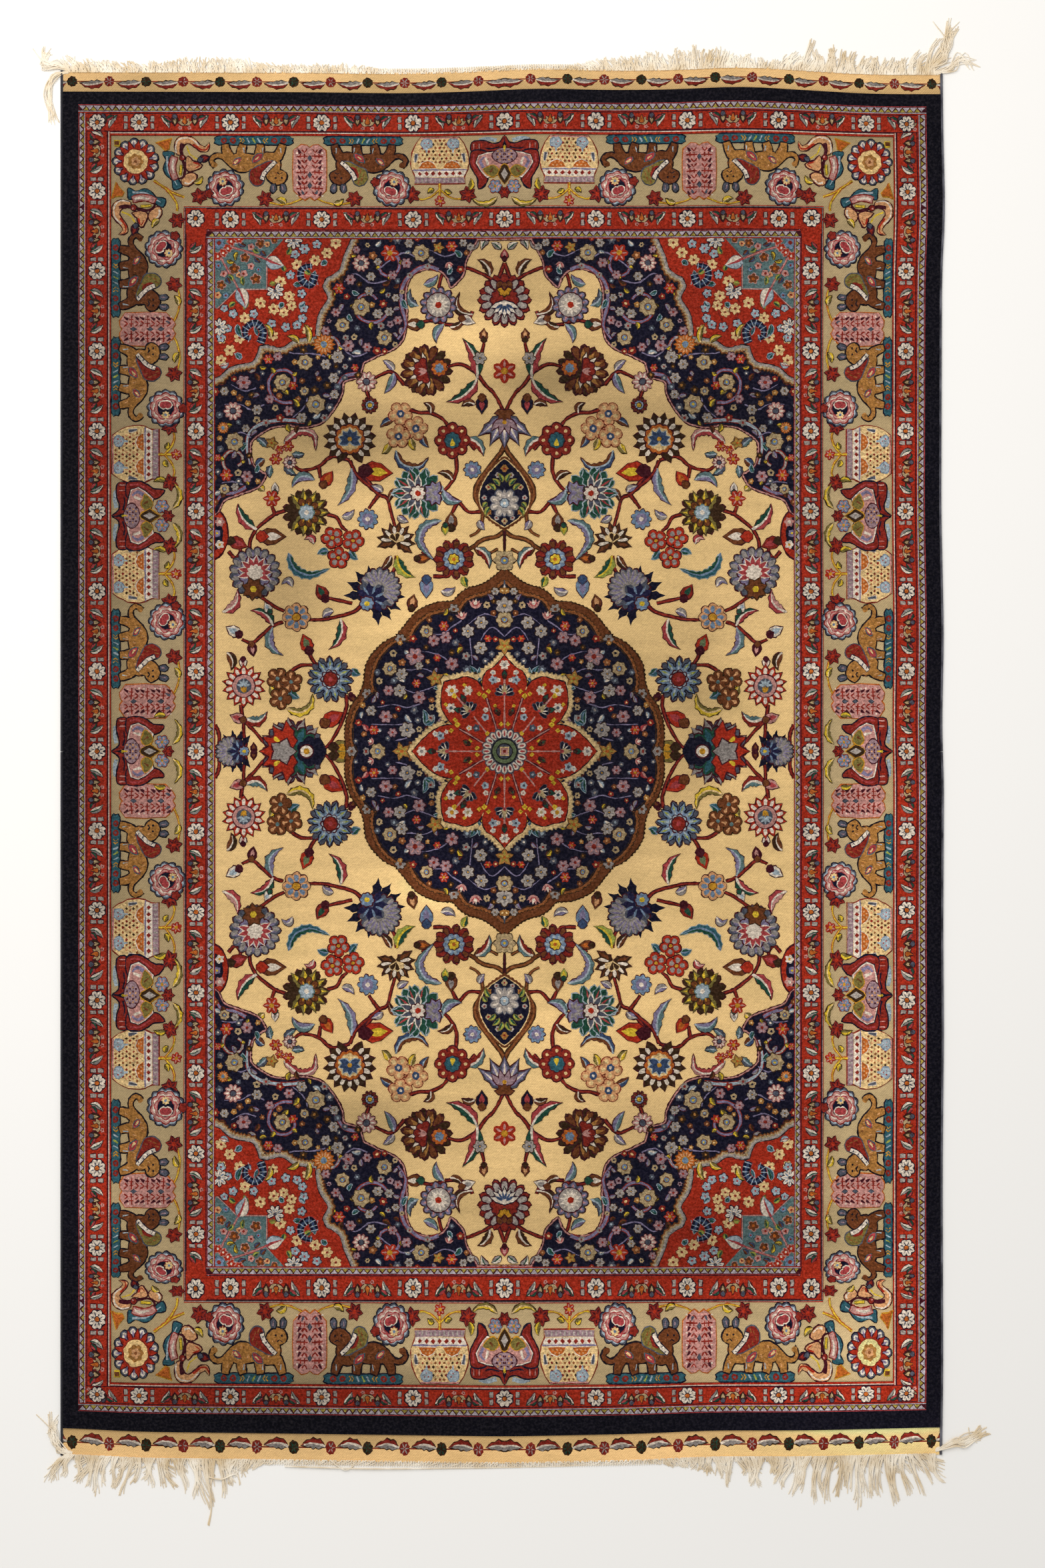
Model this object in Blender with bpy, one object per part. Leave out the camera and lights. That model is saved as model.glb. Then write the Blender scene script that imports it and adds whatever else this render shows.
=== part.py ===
"""A Persian rug lying flat: raised silk pile on a flat-woven ground.

The cloth is one sheet with its pile raised in the top face's points: border bands,
corner spandrels, medallion, palmettes and border figures stand above the flat weave,
and the plain kilim ends are the thinnest part. An overcast cord runs down each long
side, and the warp ends hang out of each kilim end as loose locks.

The plan is drawn in millimetres from the rug's own axes, +X to the right and +Y to the
top end, and turned to metres when the meshes are made. The design is drawn for the top
left quarter, and woven() moves it to the uneven places it has on the real cloth.
"""

import math
import random

import bmesh
import bpy
import numpy as np
from mathutils import Vector
from mathutils.geometry import delaunay_2d_cdt

MM = 0.001

# Heights of the weave above the floor
KILIM_HEIGHT = 2.0
GROUND_HEIGHT = 2.8
PILE_HEIGHT = 4.6
PILE_SLOPE = 1.6

# The field's edge, and every band edge from the axis outwards: as drawn, and on the right side
FIELD_X, FIELD_Y = 434, 768
BAND_X = [
    (0, 0),
    (434, 434),
    (447, 444),
    (478, 475),
    (590, 582),
    (627, 618),
    (639, 632),
    (662, 653),
]
# The same up the length: as drawn, and at the bottom end
BAND_Y = [
    (0, 0),
    (768, 772),
    (781, 785),
    (814, 823),
    (923, 948),
    (957, 981),
    (970, 994),
    (989, 1022),
    (1020, 1063),
]
# The side borders were woven longer below the axis than the field beside them: as drawn, at the bottom
SIDE_FIGURES = [(0, 0), (266, 264), (353, 366), (445, 460), (514, 534), (633, 660), (753, 777), (883, 905)]

MAIN_BORDER_OUTER = (590, 923)
MAIN_BORDER_INNER = (478, 814)
HALF_WIDTH = 662
PILE_END = 989
CLOTH_END = 1020

# How far the edges wander: place along the edge, distance outwards
TOP_WAVE = [
    (-662, 0), (-297, -1), (-147, -3), (-47, 0), (53, 5), (153, 2),
    (253, 3), (353, 8), (453, 2), (553, -4), (662, -4),
]
BOTTOM_WAVE = [
    (-662, -8), (-547, -2), (-297, 1), (3, 5), (203, 1), (303, -4), (453, -4), (662, -9),
]
RIGHT_WAVE = [
    (-1063, -1), (-933, 1), (-633, 0), (-423, 2), (-273, 1), (-33, 2), (27, -1),
    (177, 2), (357, -2), (717, -1), (807, 4), (927, 1), (1020, 0),
]
WAVE_REACH = 120
WAVE_SOFTENING = 30
EDGE_STEPS_X = 24
EDGE_STEPS_Y = 34

# Corner spandrel, from the top end of the field round to its side: x, y, cusp
SPANDREL = [
    (41, 767, True), (60, 728, False), (80, 698, True), (100, 723, False), (142, 711, False),
    (149, 656, False), (165, 606, False), (213, 583, False), (218, 560, True), (245, 537, False),
    (275, 493, False), (321, 490, False), (367, 477, False), (382, 444, False), (359, 414, True),
    (397, 387, False), (433, 357, True),
]

# Medallion of 14 lobes between cusps, the end ones drawn out to a point: x, y, cusp
MEDALLION_QUARTER = [
    (0, 268, True), (14, 253, False), (40, 237, False), (68, 228, True), (113, 204, False),
    (145, 173, True), (177, 134, False), (197, 93, True), (213, 47, False), (219, 0, True),
]
MEDALLION_BAND = 9

# Pendants beyond the medallion's points: x, y, cusp, from the pendant's own centre
PENDANT_CENTRE_Y = 388
PENDANT_HALF = [(0, 51, True), (14, 34, False), (36, 4, False), (22, -24, False), (0, -51, True)]

# Large flowers of the field, drawn as raised rounds: x, y, radius
FIELD_FLOWERS = [
    (101, 669, 24), (123, 574, 30), (154, 506, 24), (231, 470, 30), (322, 439, 30), (131, 388, 36),
    (78, 469, 20), (297, 360, 24), (80, 286, 24), (195, 238, 32), (372, 266, 30), (314, 202, 17),
    (261, 110, 26), (391, 100, 24), (248, 317, 20),
]
AXIS_FLOWERS = [(0, 676, 34), (0, 475, 26), (317, 0, 34)]

# Figures of the main border, along the ends and then along the sides: x, y, width, height
END_FIGURES = [
    (553, 883, 58, 58), (478, 888, 46, 50), (421, 845, 40, 44), (372, 876, 52, 58), (292, 870, 42, 76),
    (215, 876, 48, 58), (167, 845, 38, 46), (97, 886, 76, 60),
]
END_AXIS_FIGURE = (0, 883, 86, 72)
SIDE_BORDER_FIGURES = [
    (511, 755, 42, 46), (536, 703, 58, 50), (531, 633, 76, 42), (539, 567, 60, 50), (508, 514, 42, 46),
    (549, 445, 66, 72), (536, 353, 72, 86), (549, 266, 66, 72), (506, 195, 48, 50), (539, 154, 60, 52),
    (526, 75, 76, 42),
]
SIDE_AXIS_FIGURE = (539, 0, 62, 70)

# Overcast side cords
CORD_RADIUS = 2.0
CORD_GAP = 0.3

# Fringe: locks rooted in a strip at each end
STRIP_WIDTH = 4.0
STRIP_HEIGHT = 2.0
LOCK_COUNT = 116
LOCK_ROOT_WIDTH = 3.4
LOCK_TIP_WIDTH = 1.2
LOCK_TIP_HEIGHT = 1.0
LOCK_SEGMENTS = 3
LOCK_SWAY = 2.2
STUB_LENGTH = 12
FIRST_LOCK, LAST_LOCK = -652, 646
SHORTEST_SHARE = 0.72
# Along each end: place, length of the longest locks there, how far their tips lean
TOP_FRINGE = [
    (-640, 28, -10), (-560, 18, -3), (-447, 27, 2), (-397, 30, 4), (-347, 17, 2), (-247, 19, 0),
    (-150, 7, 0), (100, 6, 0), (153, 24, 4), (203, 29, 6), (303, 41, 4), (403, 16, 2), (453, 54, 8),
    (503, 42, 6), (553, 34, 6), (603, 30, 10), (640, 60, 22),
]
BOTTOM_FRINGE = [
    (-640, 46, -10), (-597, 74, -6), (-547, 66, 0), (-497, 46, 3), (-447, 96, 6), (-397, 38, 6),
    (-347, 9, 0), (200, 6, 0), (253, 18, 0), (303, 32, 4), (353, 56, 6), (403, 44, 4), (453, 80, 4),
    (503, 76, 0), (553, 104, 2), (603, 72, 8), (640, 60, 20),
]
# Locks that spring from the strip's ends, left then right: bend x, bend y, tip x, tip y
TOP_CORNER_LOCKS = [(-688, 1030, -674, 944), (680, 1016, 688, 1050)]
BOTTOM_CORNER_LOCKS = [(-690, -1062, -676, -1000), (676, -1062, 716, -1016)]

CLOTH_COLOUR = (0.42, 0.25, 0.14, 1.0)
CORD_COLOUR = (0.05, 0.05, 0.09, 1.0)
FRINGE_COLOUR = (0.78, 0.68, 0.5, 1.0)


def clear_scene():
    for item in list(bpy.data.objects):
        bpy.data.objects.remove(item, do_unlink=True)


def material(name, colour, roughness):
    made = bpy.data.materials.new(name)
    made.use_nodes = True
    shader = made.node_tree.nodes["Principled BSDF"]
    shader.inputs["Base Color"].default_value = colour
    shader.inputs["Roughness"].default_value = roughness
    shader.inputs["Metallic"].default_value = 0.0
    return made


def table_value(table, place):
    places, values = zip(*table)
    return float(np.interp(place, places, values))


def soft_table_value(table, place):
    """Reads a table with rounded steps instead of corners at its rows."""
    shifts = (-WAVE_SOFTENING, 0, WAVE_SOFTENING)
    return sum(table_value(table, place + shift) for shift in shifts) / len(shifts)


def woven(x, y, y_table=BAND_Y):
    """Moves a drawn point to where the weaver's uneven bands put it."""
    if x > 0:
        x = table_value(BAND_X, x)
    if y < 0:
        y = -table_value(y_table, -y)
    edge_y = PILE_END if y > 0 else table_value(BAND_Y, PILE_END)
    end_wave = soft_table_value(TOP_WAVE if y > 0 else BOTTOM_WAVE, x)
    end_fade = math.exp(-max(0.0, edge_y - abs(y)) / WAVE_REACH)
    y += end_wave * end_fade * math.copysign(1, y)
    if x > 0:
        side_fade = math.exp(-max(0.0, table_value(BAND_X, HALF_WIDTH) - x) / WAVE_REACH)
        x += soft_table_value(RIGHT_WAVE, y) * side_fade
    return x, y


def smooth_run(rows, steps):
    """Points along a smooth line through the rows, with its corners at the cusps."""
    points = []
    for index in range(len(rows) - 1):
        start, end = Vector(rows[index][:2]), Vector(rows[index + 1][:2])
        before = start if rows[index][2] else Vector(rows[index - 1][:2])
        after = end if rows[index + 1][2] else Vector(rows[index + 2][:2])
        for step in range(steps):
            t = step / steps
            pull_in = (end - before) * 0.5
            pull_out = (after - start) * 0.5
            point = (
                start * (2 * t**3 - 3 * t**2 + 1)
                + pull_in * (t**3 - 2 * t**2 + t)
                + end * (3 * t**2 - 2 * t**3)
                + pull_out * (t**3 - t**2)
            )
            points.append((point.x, point.y))
    points.append(tuple(rows[-1][:2]))
    return points


def four_quarters(quarter):
    """Closes a run that starts on the Y axis and ends on the X axis into a whole loop."""
    right = list(quarter)
    below = [(x, -y) for x, y in reversed(quarter[:-1])]
    half = right + below
    other = [(-x, y) for x, y in reversed(half[1:-1])]
    return half + other


def grown(points, distance):
    """A closed loop moved outwards by a distance, or inwards by a negative one."""
    area = sum(a[0] * b[1] - b[0] * a[1] for a, b in zip(points, points[1:] + points[:1]))
    turn = 1 if area > 0 else -1
    moved = []
    for index, point in enumerate(points):
        along = Vector(points[(index + 1) % len(points)]) - Vector(points[index - 1])
        outwards = Vector((along.y, -along.x)).normalized() * turn * distance
        moved.append((point[0] + outwards.x, point[1] + outwards.y))
    return moved


def ellipse(x, y, width, height, sides):
    turns = [math.tau * (side + 0.5) / sides for side in range(sides)]
    return [(x + width / 2 * math.cos(turn), y + height / 2 * math.sin(turn)) for turn in turns]


def rectangle(half_x, half_y, steps_x=8, steps_y=12):
    """A drawn rectangle with points along its sides, so that the bands can wander."""
    loop = [(-half_x + 2 * half_x * step / steps_x, half_y) for step in range(steps_x)]
    loop += [(half_x, half_y - 2 * half_y * step / steps_y) for step in range(steps_y)]
    loop += [(-x, -y) for x, y in loop]
    return loop


class Plan:
    """Lines of the cloth's top face, each point with its height."""

    def __init__(self):
        self.points = []
        self.heights = []
        self.edges = []

    def line(self, points, height, closed=True, y_table=BAND_Y):
        first = len(self.points)
        for x, y in points:
            self.points.append(Vector(woven(x, y, y_table)))
            self.heights.append(height)
        count = len(points)
        last = count if closed else count - 1
        self.edges += [(first + step, first + (step + 1) % count) for step in range(last)]

    def raised(self, loop, y_table=BAND_Y):
        """Pile inside the loop, sloping down to the ground at the loop itself."""
        self.line(loop, GROUND_HEIGHT, y_table=y_table)
        self.line(grown(loop, -PILE_SLOPE), PILE_HEIGHT, y_table=y_table)

    def sunk(self, loop):
        """Ground inside the loop, sloping up to the pile at the loop itself."""
        self.line(loop, PILE_HEIGHT)
        self.line(grown(loop, -PILE_SLOPE), GROUND_HEIGHT)


def cloth_outline():
    """The cloth's edge, anticlockwise, as (drawn x, drawn y, height) rows."""
    ends = np.linspace(-HALF_WIDTH, HALF_WIDTH, EDGE_STEPS_X + 1)
    sides = list(np.linspace(-PILE_END + PILE_SLOPE, PILE_END - PILE_SLOPE, EDGE_STEPS_Y + 1))
    rows = [(x, -CLOTH_END, KILIM_HEIGHT) for x in ends]
    rows.append((HALF_WIDTH, -PILE_END, KILIM_HEIGHT))
    rows += [(HALF_WIDTH, y, PILE_HEIGHT) for y in sides]
    rows.append((HALF_WIDTH, PILE_END, KILIM_HEIGHT))
    rows += [(x, CLOTH_END, KILIM_HEIGHT) for x in reversed(ends)]
    rows.append((-HALF_WIDTH, PILE_END, KILIM_HEIGHT))
    rows += [(-HALF_WIDTH, y, PILE_HEIGHT) for y in reversed(sides)]
    rows.append((-HALF_WIDTH, -PILE_END, KILIM_HEIGHT))
    return rows


def field_ground_loop():
    """The flat-woven field between the four spandrels."""
    run = smooth_run(SPANDREL, 2)
    return four_quarters([(0, FIELD_Y - 1)] + run + [(FIELD_X - 1, 0)])


def border_figures():
    """Rows of (x, y, width, height, y table) for every raised figure of the main border."""
    rows = []
    for side in (-1, 1):
        for end in (-1, 1):
            rows += [(side * x, end * y, w, h, BAND_Y) for x, y, w, h in END_FIGURES]
            rows += [(side * x, end * y, w, h, SIDE_FIGURES) for x, y, w, h in SIDE_BORDER_FIGURES]
    for sign in (-1, 1):
        x, y, width, height = END_AXIS_FIGURE
        rows.append((x, sign * y, width, height, BAND_Y))
        x, y, width, height = SIDE_AXIS_FIGURE
        rows.append((sign * x, y, width, height, BAND_Y))
    return rows


def field_flowers():
    rows = []
    for x, y, radius in FIELD_FLOWERS:
        rows += [(side * x, end * y, radius) for side in (-1, 1) for end in (-1, 1)]
    for x, y, radius in AXIS_FLOWERS:
        rows += [(x, y, radius), (-x, -y, radius)]
    return rows


def cloth_plan():
    plan = Plan()
    outline = cloth_outline()
    plan.line([(x, y) for x, y, height in outline], KILIM_HEIGHT)
    plan.heights[: len(outline)] = [height for x, y, height in outline]
    ends = np.linspace(-HALF_WIDTH, HALF_WIDTH, EDGE_STEPS_X + 1)
    for end in (-1, 1):
        plan.line([(x, end * PILE_END) for x in ends], KILIM_HEIGHT, closed=False)
        plan.line([(x, end * (PILE_END - PILE_SLOPE)) for x in ends], PILE_HEIGHT, closed=False)
    plan.sunk(rectangle(*MAIN_BORDER_OUTER))
    plan.raised(rectangle(*MAIN_BORDER_INNER))
    plan.sunk(field_ground_loop())
    plan.raised(grown(four_quarters(smooth_run(MEDALLION_QUARTER, 2)), MEDALLION_BAND))
    half = smooth_run(PENDANT_HALF, 2)
    for end in (-1, 1):
        pendant = half + [(-x, y) for x, y in reversed(half[1:-1])]
        plan.raised([(x, end * (y + PENDANT_CENTRE_Y)) for x, y in pendant])
    for x, y, radius in field_flowers():
        plan.raised(ellipse(x, y, 2 * radius, 2 * radius, 8))
    for x, y, width, height, y_table in border_figures():
        plan.raised(ellipse(x, y, width, height, 8), y_table)
    return plan, len(outline)


def rug_mesh():
    """The cloth as one closed solid: raised top face, flat underside and thin edge."""
    plan, edge_count = cloth_plan()
    outline = [list(range(edge_count))]
    points, _, faces, sources, _, inside = delaunay_2d_cdt(plan.points, plan.edges, outline, 0, 0.0001, True)
    faces = [face for face, within in zip(faces, inside) if within]
    heights = [float(np.mean([plan.heights[i] for i in source])) if source else GROUND_HEIGHT
               for source in sources]
    body = bmesh.new()
    top = [body.verts.new((p.x * MM, p.y * MM, h * MM)) for p, h in zip(points, heights)]
    place = {source: index for index, group in enumerate(sources) for source in group}
    edge = [place[index] for index in range(edge_count)]
    for face in faces:
        body.faces.new([top[index] for index in face])
    under = [body.verts.new((points[index].x * MM, points[index].y * MM, 0.0)) for index in edge]
    for step in range(edge_count):
        after = (step + 1) % edge_count
        body.faces.new([under[step], under[after], top[edge[after]], top[edge[step]]])
    body.faces.new(list(reversed(under)))
    for vertex in [v for v in body.verts if not v.link_faces]:
        body.verts.remove(vertex)
    bmesh.ops.recalc_face_normals(body, faces=body.faces)
    mesh = bpy.data.meshes.new("rug")
    body.to_mesh(mesh)
    body.free()
    return mesh


def make_cord(name, side, finish, collection):
    """An overcast cord beside the cloth's long edge, as a tube that lies on the floor."""
    curve = bpy.data.curves.new(name, "CURVE")
    curve.dimensions = "3D"
    curve.bevel_depth = CORD_RADIUS * MM
    curve.bevel_resolution = 2
    curve.use_fill_caps = True
    drawn = [y for x, y, height in cloth_outline() if x == HALF_WIDTH]
    spline = curve.splines.new("POLY")
    spline.points.add(len(drawn) - 1)
    for point, y in zip(spline.points, drawn):
        edge_x, edge_y = woven(side * HALF_WIDTH, y)
        across = edge_x + side * (CORD_RADIUS + CORD_GAP)
        point.co = (across * MM, edge_y * MM, CORD_RADIUS * MM, 1.0)
    curve.materials.append(finish)
    cord = bpy.data.objects.new(name, curve)
    collection.objects.link(cord)


def curved_path(root, bend, tip, steps):
    """Points on the arc from root to tip that is drawn towards the bend."""
    path = []
    for step in range(steps + 1):
        t = step / steps
        path.append(root * (1 - t) ** 2 + bend * 2 * t * (1 - t) + tip * t**2)
    return path


def lock_path(root, length, lean, sway, end):
    """A lock that leaves the strip straight and bends over as it goes."""
    tip = root + Vector((lean + sway, end * length))
    bend = root + Vector((sway * 1.5, end * length * 0.5))
    return curved_path(root, bend, tip, LOCK_SEGMENTS if length > STUB_LENGTH else 1)


def draw_out(body, face, path):
    """Extrudes one face of the strip along a path on the floor, narrowing to the tip."""
    for step in range(1, len(path)):
        share = step / (len(path) - 1)
        ahead = path[min(step + 1, len(path) - 1)] - path[step - 1]
        across = Vector((-ahead.y, ahead.x)).normalized()
        width = LOCK_ROOT_WIDTH + (LOCK_TIP_WIDTH - LOCK_ROOT_WIDTH) * share
        height = STRIP_HEIGHT + (LOCK_TIP_HEIGHT - STRIP_HEIGHT) * share
        middle = face.calc_center_median()
        made = bmesh.ops.extrude_discrete_faces(body, faces=[face])["faces"][0]
        sides = [(vertex, (vertex.co - middle)) for vertex in made.verts]
        for vertex, offset in sides:
            left = offset.xy.dot(across) > 0
            spot = path[step] * MM + across * (width / 2 * MM if left else -width / 2 * MM)
            vertex.co = (spot.x, spot.y, height * MM if offset.z > 0 else 0.0)
        face = made


def fringe_places(table):
    """Root places along an end with the length and lean of the lock that grows there."""
    places, lengths, leans = zip(*table)
    for place in np.linspace(FIRST_LOCK, LAST_LOCK, LOCK_COUNT):
        yield float(place), float(np.interp(place, places, lengths)), float(np.interp(place, places, leans))


def strip_line(end, drawn_x, out):
    """A point of the strip's edge, a distance outwards of the cloth's end."""
    x, y = woven(drawn_x, end * CLOTH_END)
    return Vector((x, y + end * (CORD_GAP + out)))


def fringe_mesh(name, end, table, corner_locks, seed):
    """Backing strip with its locks drawn out of its outer face, all on the floor."""
    rng = random.Random(seed)
    body = bmesh.new()
    locks = list(fringe_places(table))
    corners = [-HALF_WIDTH]
    for place, length, lean in locks:
        corners += [place - LOCK_ROOT_WIDTH / 2, place + LOCK_ROOT_WIDTH / 2]
    corners.append(HALF_WIDTH)
    rings = []
    for x in corners:
        inner, outer = strip_line(end, x, 0), strip_line(end, x, STRIP_WIDTH)
        spots = [(inner, 0), (outer, 0), (outer, STRIP_HEIGHT), (inner, STRIP_HEIGHT)]
        rings.append([body.verts.new((p.x * MM, p.y * MM, h * MM)) for p, h in spots])
    roots = []
    for index in range(len(rings) - 1):
        here, there = rings[index], rings[index + 1]
        walls = [body.faces.new([here[k], here[(k + 1) % 4], there[(k + 1) % 4], there[k]]) for k in range(4)]
        roots.append(walls[1])
    caps = [body.faces.new(rings[0]), body.faces.new(rings[-1])]
    bmesh.ops.recalc_face_normals(body, faces=body.faces)
    for index, (place, length, lean) in enumerate(locks):
        face = roots[1 + 2 * index]
        root = face.calc_center_median().xy / MM
        reach = length * rng.uniform(SHORTEST_SHARE, 1.0)
        draw_out(body, face, lock_path(root, reach, lean, rng.uniform(-LOCK_SWAY, LOCK_SWAY), end))
    for cap, row in zip(caps, corner_locks):
        root = cap.calc_center_median().xy / MM
        bend, tip = Vector(row[:2]), Vector(row[2:])
        draw_out(body, cap, curved_path(root, bend, tip, 2 * LOCK_SEGMENTS))
    bmesh.ops.recalc_face_normals(body, faces=body.faces)
    mesh = bpy.data.meshes.new(name)
    body.to_mesh(mesh)
    body.free()
    return mesh


def place_mesh(name, mesh, finish, collection):
    mesh.materials.append(finish)
    made = bpy.data.objects.new(name, mesh)
    collection.objects.link(made)
    return made


def centre_on_origin(objects):
    """Moves everything so that the middle of the whole footprint is the origin."""
    bpy.context.view_layer.update()
    corners = [item.matrix_world @ Vector(corner) for item in objects for corner in item.bound_box]
    middle_x = (min(c.x for c in corners) + max(c.x for c in corners)) / 2
    middle_y = (min(c.y for c in corners) + max(c.y for c in corners)) / 2
    for item in objects:
        item.location = (-middle_x, -middle_y, 0.0)


def main():
    clear_scene()
    collection = bpy.data.collections.new("persian_rug")
    bpy.context.scene.collection.children.link(collection)
    cloth = material("silk pile and flat weave", CLOTH_COLOUR, 0.7)
    cord = material("overcast wool cord", CORD_COLOUR, 0.8)
    yarn = material("undyed warp yarn", FRINGE_COLOUR, 0.75)
    place_mesh("rug", rug_mesh(), cloth, collection)
    make_cord("selvedge_left", -1, cord, collection)
    make_cord("selvedge_right", 1, cord, collection)
    place_mesh("fringe_top", fringe_mesh("fringe_top", 1, TOP_FRINGE, TOP_CORNER_LOCKS, 3), yarn, collection)
    bottom = fringe_mesh("fringe_bottom", -1, BOTTOM_FRINGE, BOTTOM_CORNER_LOCKS, 4)
    place_mesh("fringe_bottom", bottom, yarn, collection)
    centre_on_origin(list(collection.objects))


main()
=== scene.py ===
import cmath
import math
import random

import bpy
import numpy as np
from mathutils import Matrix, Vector
from mathutils.bvhtree import BVHTree
from mathutils.geometry import delaunay_2d_cdt


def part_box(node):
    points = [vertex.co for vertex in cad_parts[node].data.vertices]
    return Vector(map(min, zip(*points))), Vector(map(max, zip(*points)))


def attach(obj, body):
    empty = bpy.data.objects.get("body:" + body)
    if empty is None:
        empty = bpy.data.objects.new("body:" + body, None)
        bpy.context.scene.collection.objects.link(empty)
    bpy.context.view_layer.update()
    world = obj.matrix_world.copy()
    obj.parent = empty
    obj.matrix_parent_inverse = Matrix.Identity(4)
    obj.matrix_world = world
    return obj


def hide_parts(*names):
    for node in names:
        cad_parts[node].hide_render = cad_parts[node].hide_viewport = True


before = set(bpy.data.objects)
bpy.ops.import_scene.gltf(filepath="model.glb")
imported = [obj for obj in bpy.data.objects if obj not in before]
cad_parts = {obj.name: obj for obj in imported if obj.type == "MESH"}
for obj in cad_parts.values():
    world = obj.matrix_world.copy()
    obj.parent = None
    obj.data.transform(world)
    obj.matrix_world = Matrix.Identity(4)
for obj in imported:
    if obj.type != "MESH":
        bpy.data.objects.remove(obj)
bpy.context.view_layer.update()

# The rug is drawn in millimetres from its own axes, in the quarter where x and y are positive,
# as complex numbers (x + y * 1j). Its four quarters are that drawing, mirrored and then
# pulled to the uneven places that the hand-woven bands have.
mm = 0.001
rug = {
    "kilimHeight": 2.0,
    "groundHeight": 2.8,
    "pileHeight": 4.6,
    "fieldX": 434,
    "fieldY": 768,
    "halfWidth": 662,
    "pileEnd": 989,
    "clothEnd": 1020,
    "flowerGrowth": 1.1,
    "leafGrowth": 1.25,
    # how much more strongly the painted sheen and dye lots show on the flat ground
    "groundSheenAndDyeStrength": 1.3,
    "waveReach": 120,
    "waveSoftening": 30,
    "handTremble": 0.34,
    "longStitch": 6.0,
}
# drawn distance from the axis, and the same band edge on the right, at the bottom, and on the
# lower half of the side borders
bandsRight = [(0, 0), (434, 434), (447, 444), (478, 475), (590, 582), (627, 618), (639, 632), (662, 653)]
bandsBottom = [
    (0, 0), (768, 772), (781, 785), (814, 823), (923, 948),
    (957, 981), (970, 994), (989, 1022), (1020, 1063),
]
sideBottom = [(0, 0), (266, 264), (353, 366), (445, 460), (514, 534), (633, 660), (753, 777), (814, 823)]
# place along an edge, and how far that edge wanders outwards
topWave = [
    (-662, 0), (-297, -1), (-147, -3), (-47, 0), (53, 5), (153, 2),
    (253, 3), (353, 8), (453, 2), (553, -4), (662, -4),
]
bottomWave = [(-662, -8), (-547, -2), (-297, 1), (3, 5), (203, 1), (303, -4), (453, -4), (662, -9)]
rightWave = [
    (-1063, -1), (-933, 1), (-633, 0), (-423, 2), (-273, 1), (-33, 2), (27, -1),
    (177, 2), (357, -2), (717, -1), (807, 4), (927, 1), (1020, 0),
]

dyes = {
    "cream": "#E0BC80", "tan": "#A6906A", "navy": "#0F0E22", "night": "#0A0914", "midnight": "#1B1A38", "red": "#9A2814",
    "brick": "#7A2218", "wine": "#3C0D18", "dark": "#150F18", "teal": "#536A6A", "sea": "#2A525C",
    "sky": "#66798F", "blue": "#32425F", "ice": "#939FA6", "white": "#CDBFAE", "ivory": "#CFB07C",
    "grey": "#857D78", "slate": "#474A55", "lilac": "#756C86", "pink": "#B07E76", "rose": "#97393B",
    "peach": "#C08C60", "orange": "#A9581F", "gold": "#B27F22", "yellow": "#C6A72E", "lime": "#8F9440",
    "leaf": "#1A4132", "sage": "#5D6A4A", "brown": "#613419", "umber": "#33200F", "olive": "#6F6230",
    "bark": "#7E4A26", "sand": "#A38C68", "chalk": "#9A9088", "mauve": "#8C7278", "mustard": "#98883C",
    "ash": "#A39AA0", "kilim": "#F0C486", "kilimInner": "#D2AC74", "ochre": "#9A6A34", "yarn": "#DCCBA8", "back": "#9A8560",
}


def toLinear(hexColour):
    channels = [int(hexColour[at:at + 2], 16) / 255 for at in (1, 3, 5)]
    return tuple(c / 12.92 if c <= 0.04045 else ((c + 0.055) / 1.055) ** 2.4 for c in channels)


def readTable(table, place):
    places, values = zip(*table)
    return np.interp(place, places, values)


def softTable(table, place):
    shifts = (-rug["waveSoftening"], 0, rug["waveSoftening"])
    return sum(readTable(table, place + shift) for shift in shifts) / len(shifts)


def pullWoven(x, y, lower=bandsBottom):
    """Moves arrays of drawn points to where the real bands lie."""
    right = x > 0
    below = y < 0
    x = np.where(right, readTable(bandsRight, x), x)
    y = np.where(below, -readTable(lower, -y), y)
    endY = np.where(below, readTable(bandsBottom, rug["pileEnd"]), rug["pileEnd"])
    wave = np.where(below, softTable(bottomWave, x), softTable(topWave, x))
    fade = np.exp(-np.maximum(0, endY - abs(y)) / rug["waveReach"])
    y = y + np.sign(y) * wave * fade
    edgeX = readTable(bandsRight, rug["halfWidth"])
    fade = np.exp(-np.maximum(0, edgeX - x) / rug["waveReach"])
    x = np.where(right, x + softTable(rightWave, y) * fade, x)
    return x, y


# The frame's rug box says where the rug's axes are
rugLow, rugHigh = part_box("rug")
endRow = np.linspace(-rug["halfWidth"], rug["halfWidth"], 25)
axisX = rugLow[0] + rug["halfWidth"] * mm
axisY = rugHigh[1] - max(pullWoven(endRow, np.full(25, float(rug["clothEnd"])))[1]) * mm


# Drawing

def flow(points, step=3.0, closed=False):
    """Points every few millimetres on a smooth line through the given ones."""
    count = len(points)
    made = []
    for index in range(count if closed else count - 1):
        start, end = points[index], points[(index + 1) % count]
        before = points[index - 1] if closed or index else start
        after = points[(index + 2) % count] if closed or index + 2 < count else end
        steps = max(1, round(abs(end - start) / step))
        for k in range(steps):
            t = k / steps
            made.append(
                start * (2 * t**3 - 3 * t**2 + 1) + (end - before) / 2 * (t**3 - 2 * t**2 + t)
                + end * (3 * t**2 - 2 * t**3) + (after - start) / 2 * (t**3 - t**2)
            )
    if not closed:
        made.append(points[-1])
    return made


def cuspLine(rows, step=3.0):
    """A line of smooth runs; a row (x, y, 1) is a cusp, where one run ends and the next starts."""
    made, run = [], []
    for x, y, cusp in rows:
        run.append(complex(x, y))
        if cusp and len(run) > 1:
            made += flow(run, step)[:-1]
            run = run[-1:]
    return made + run[-1:]


def loopArea(points):
    """Signed area, positive where the points run anticlockwise."""
    return sum((a.conjugate() * b).imag for a, b in zip(points, points[1:] + points[:1])) / 2


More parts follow.
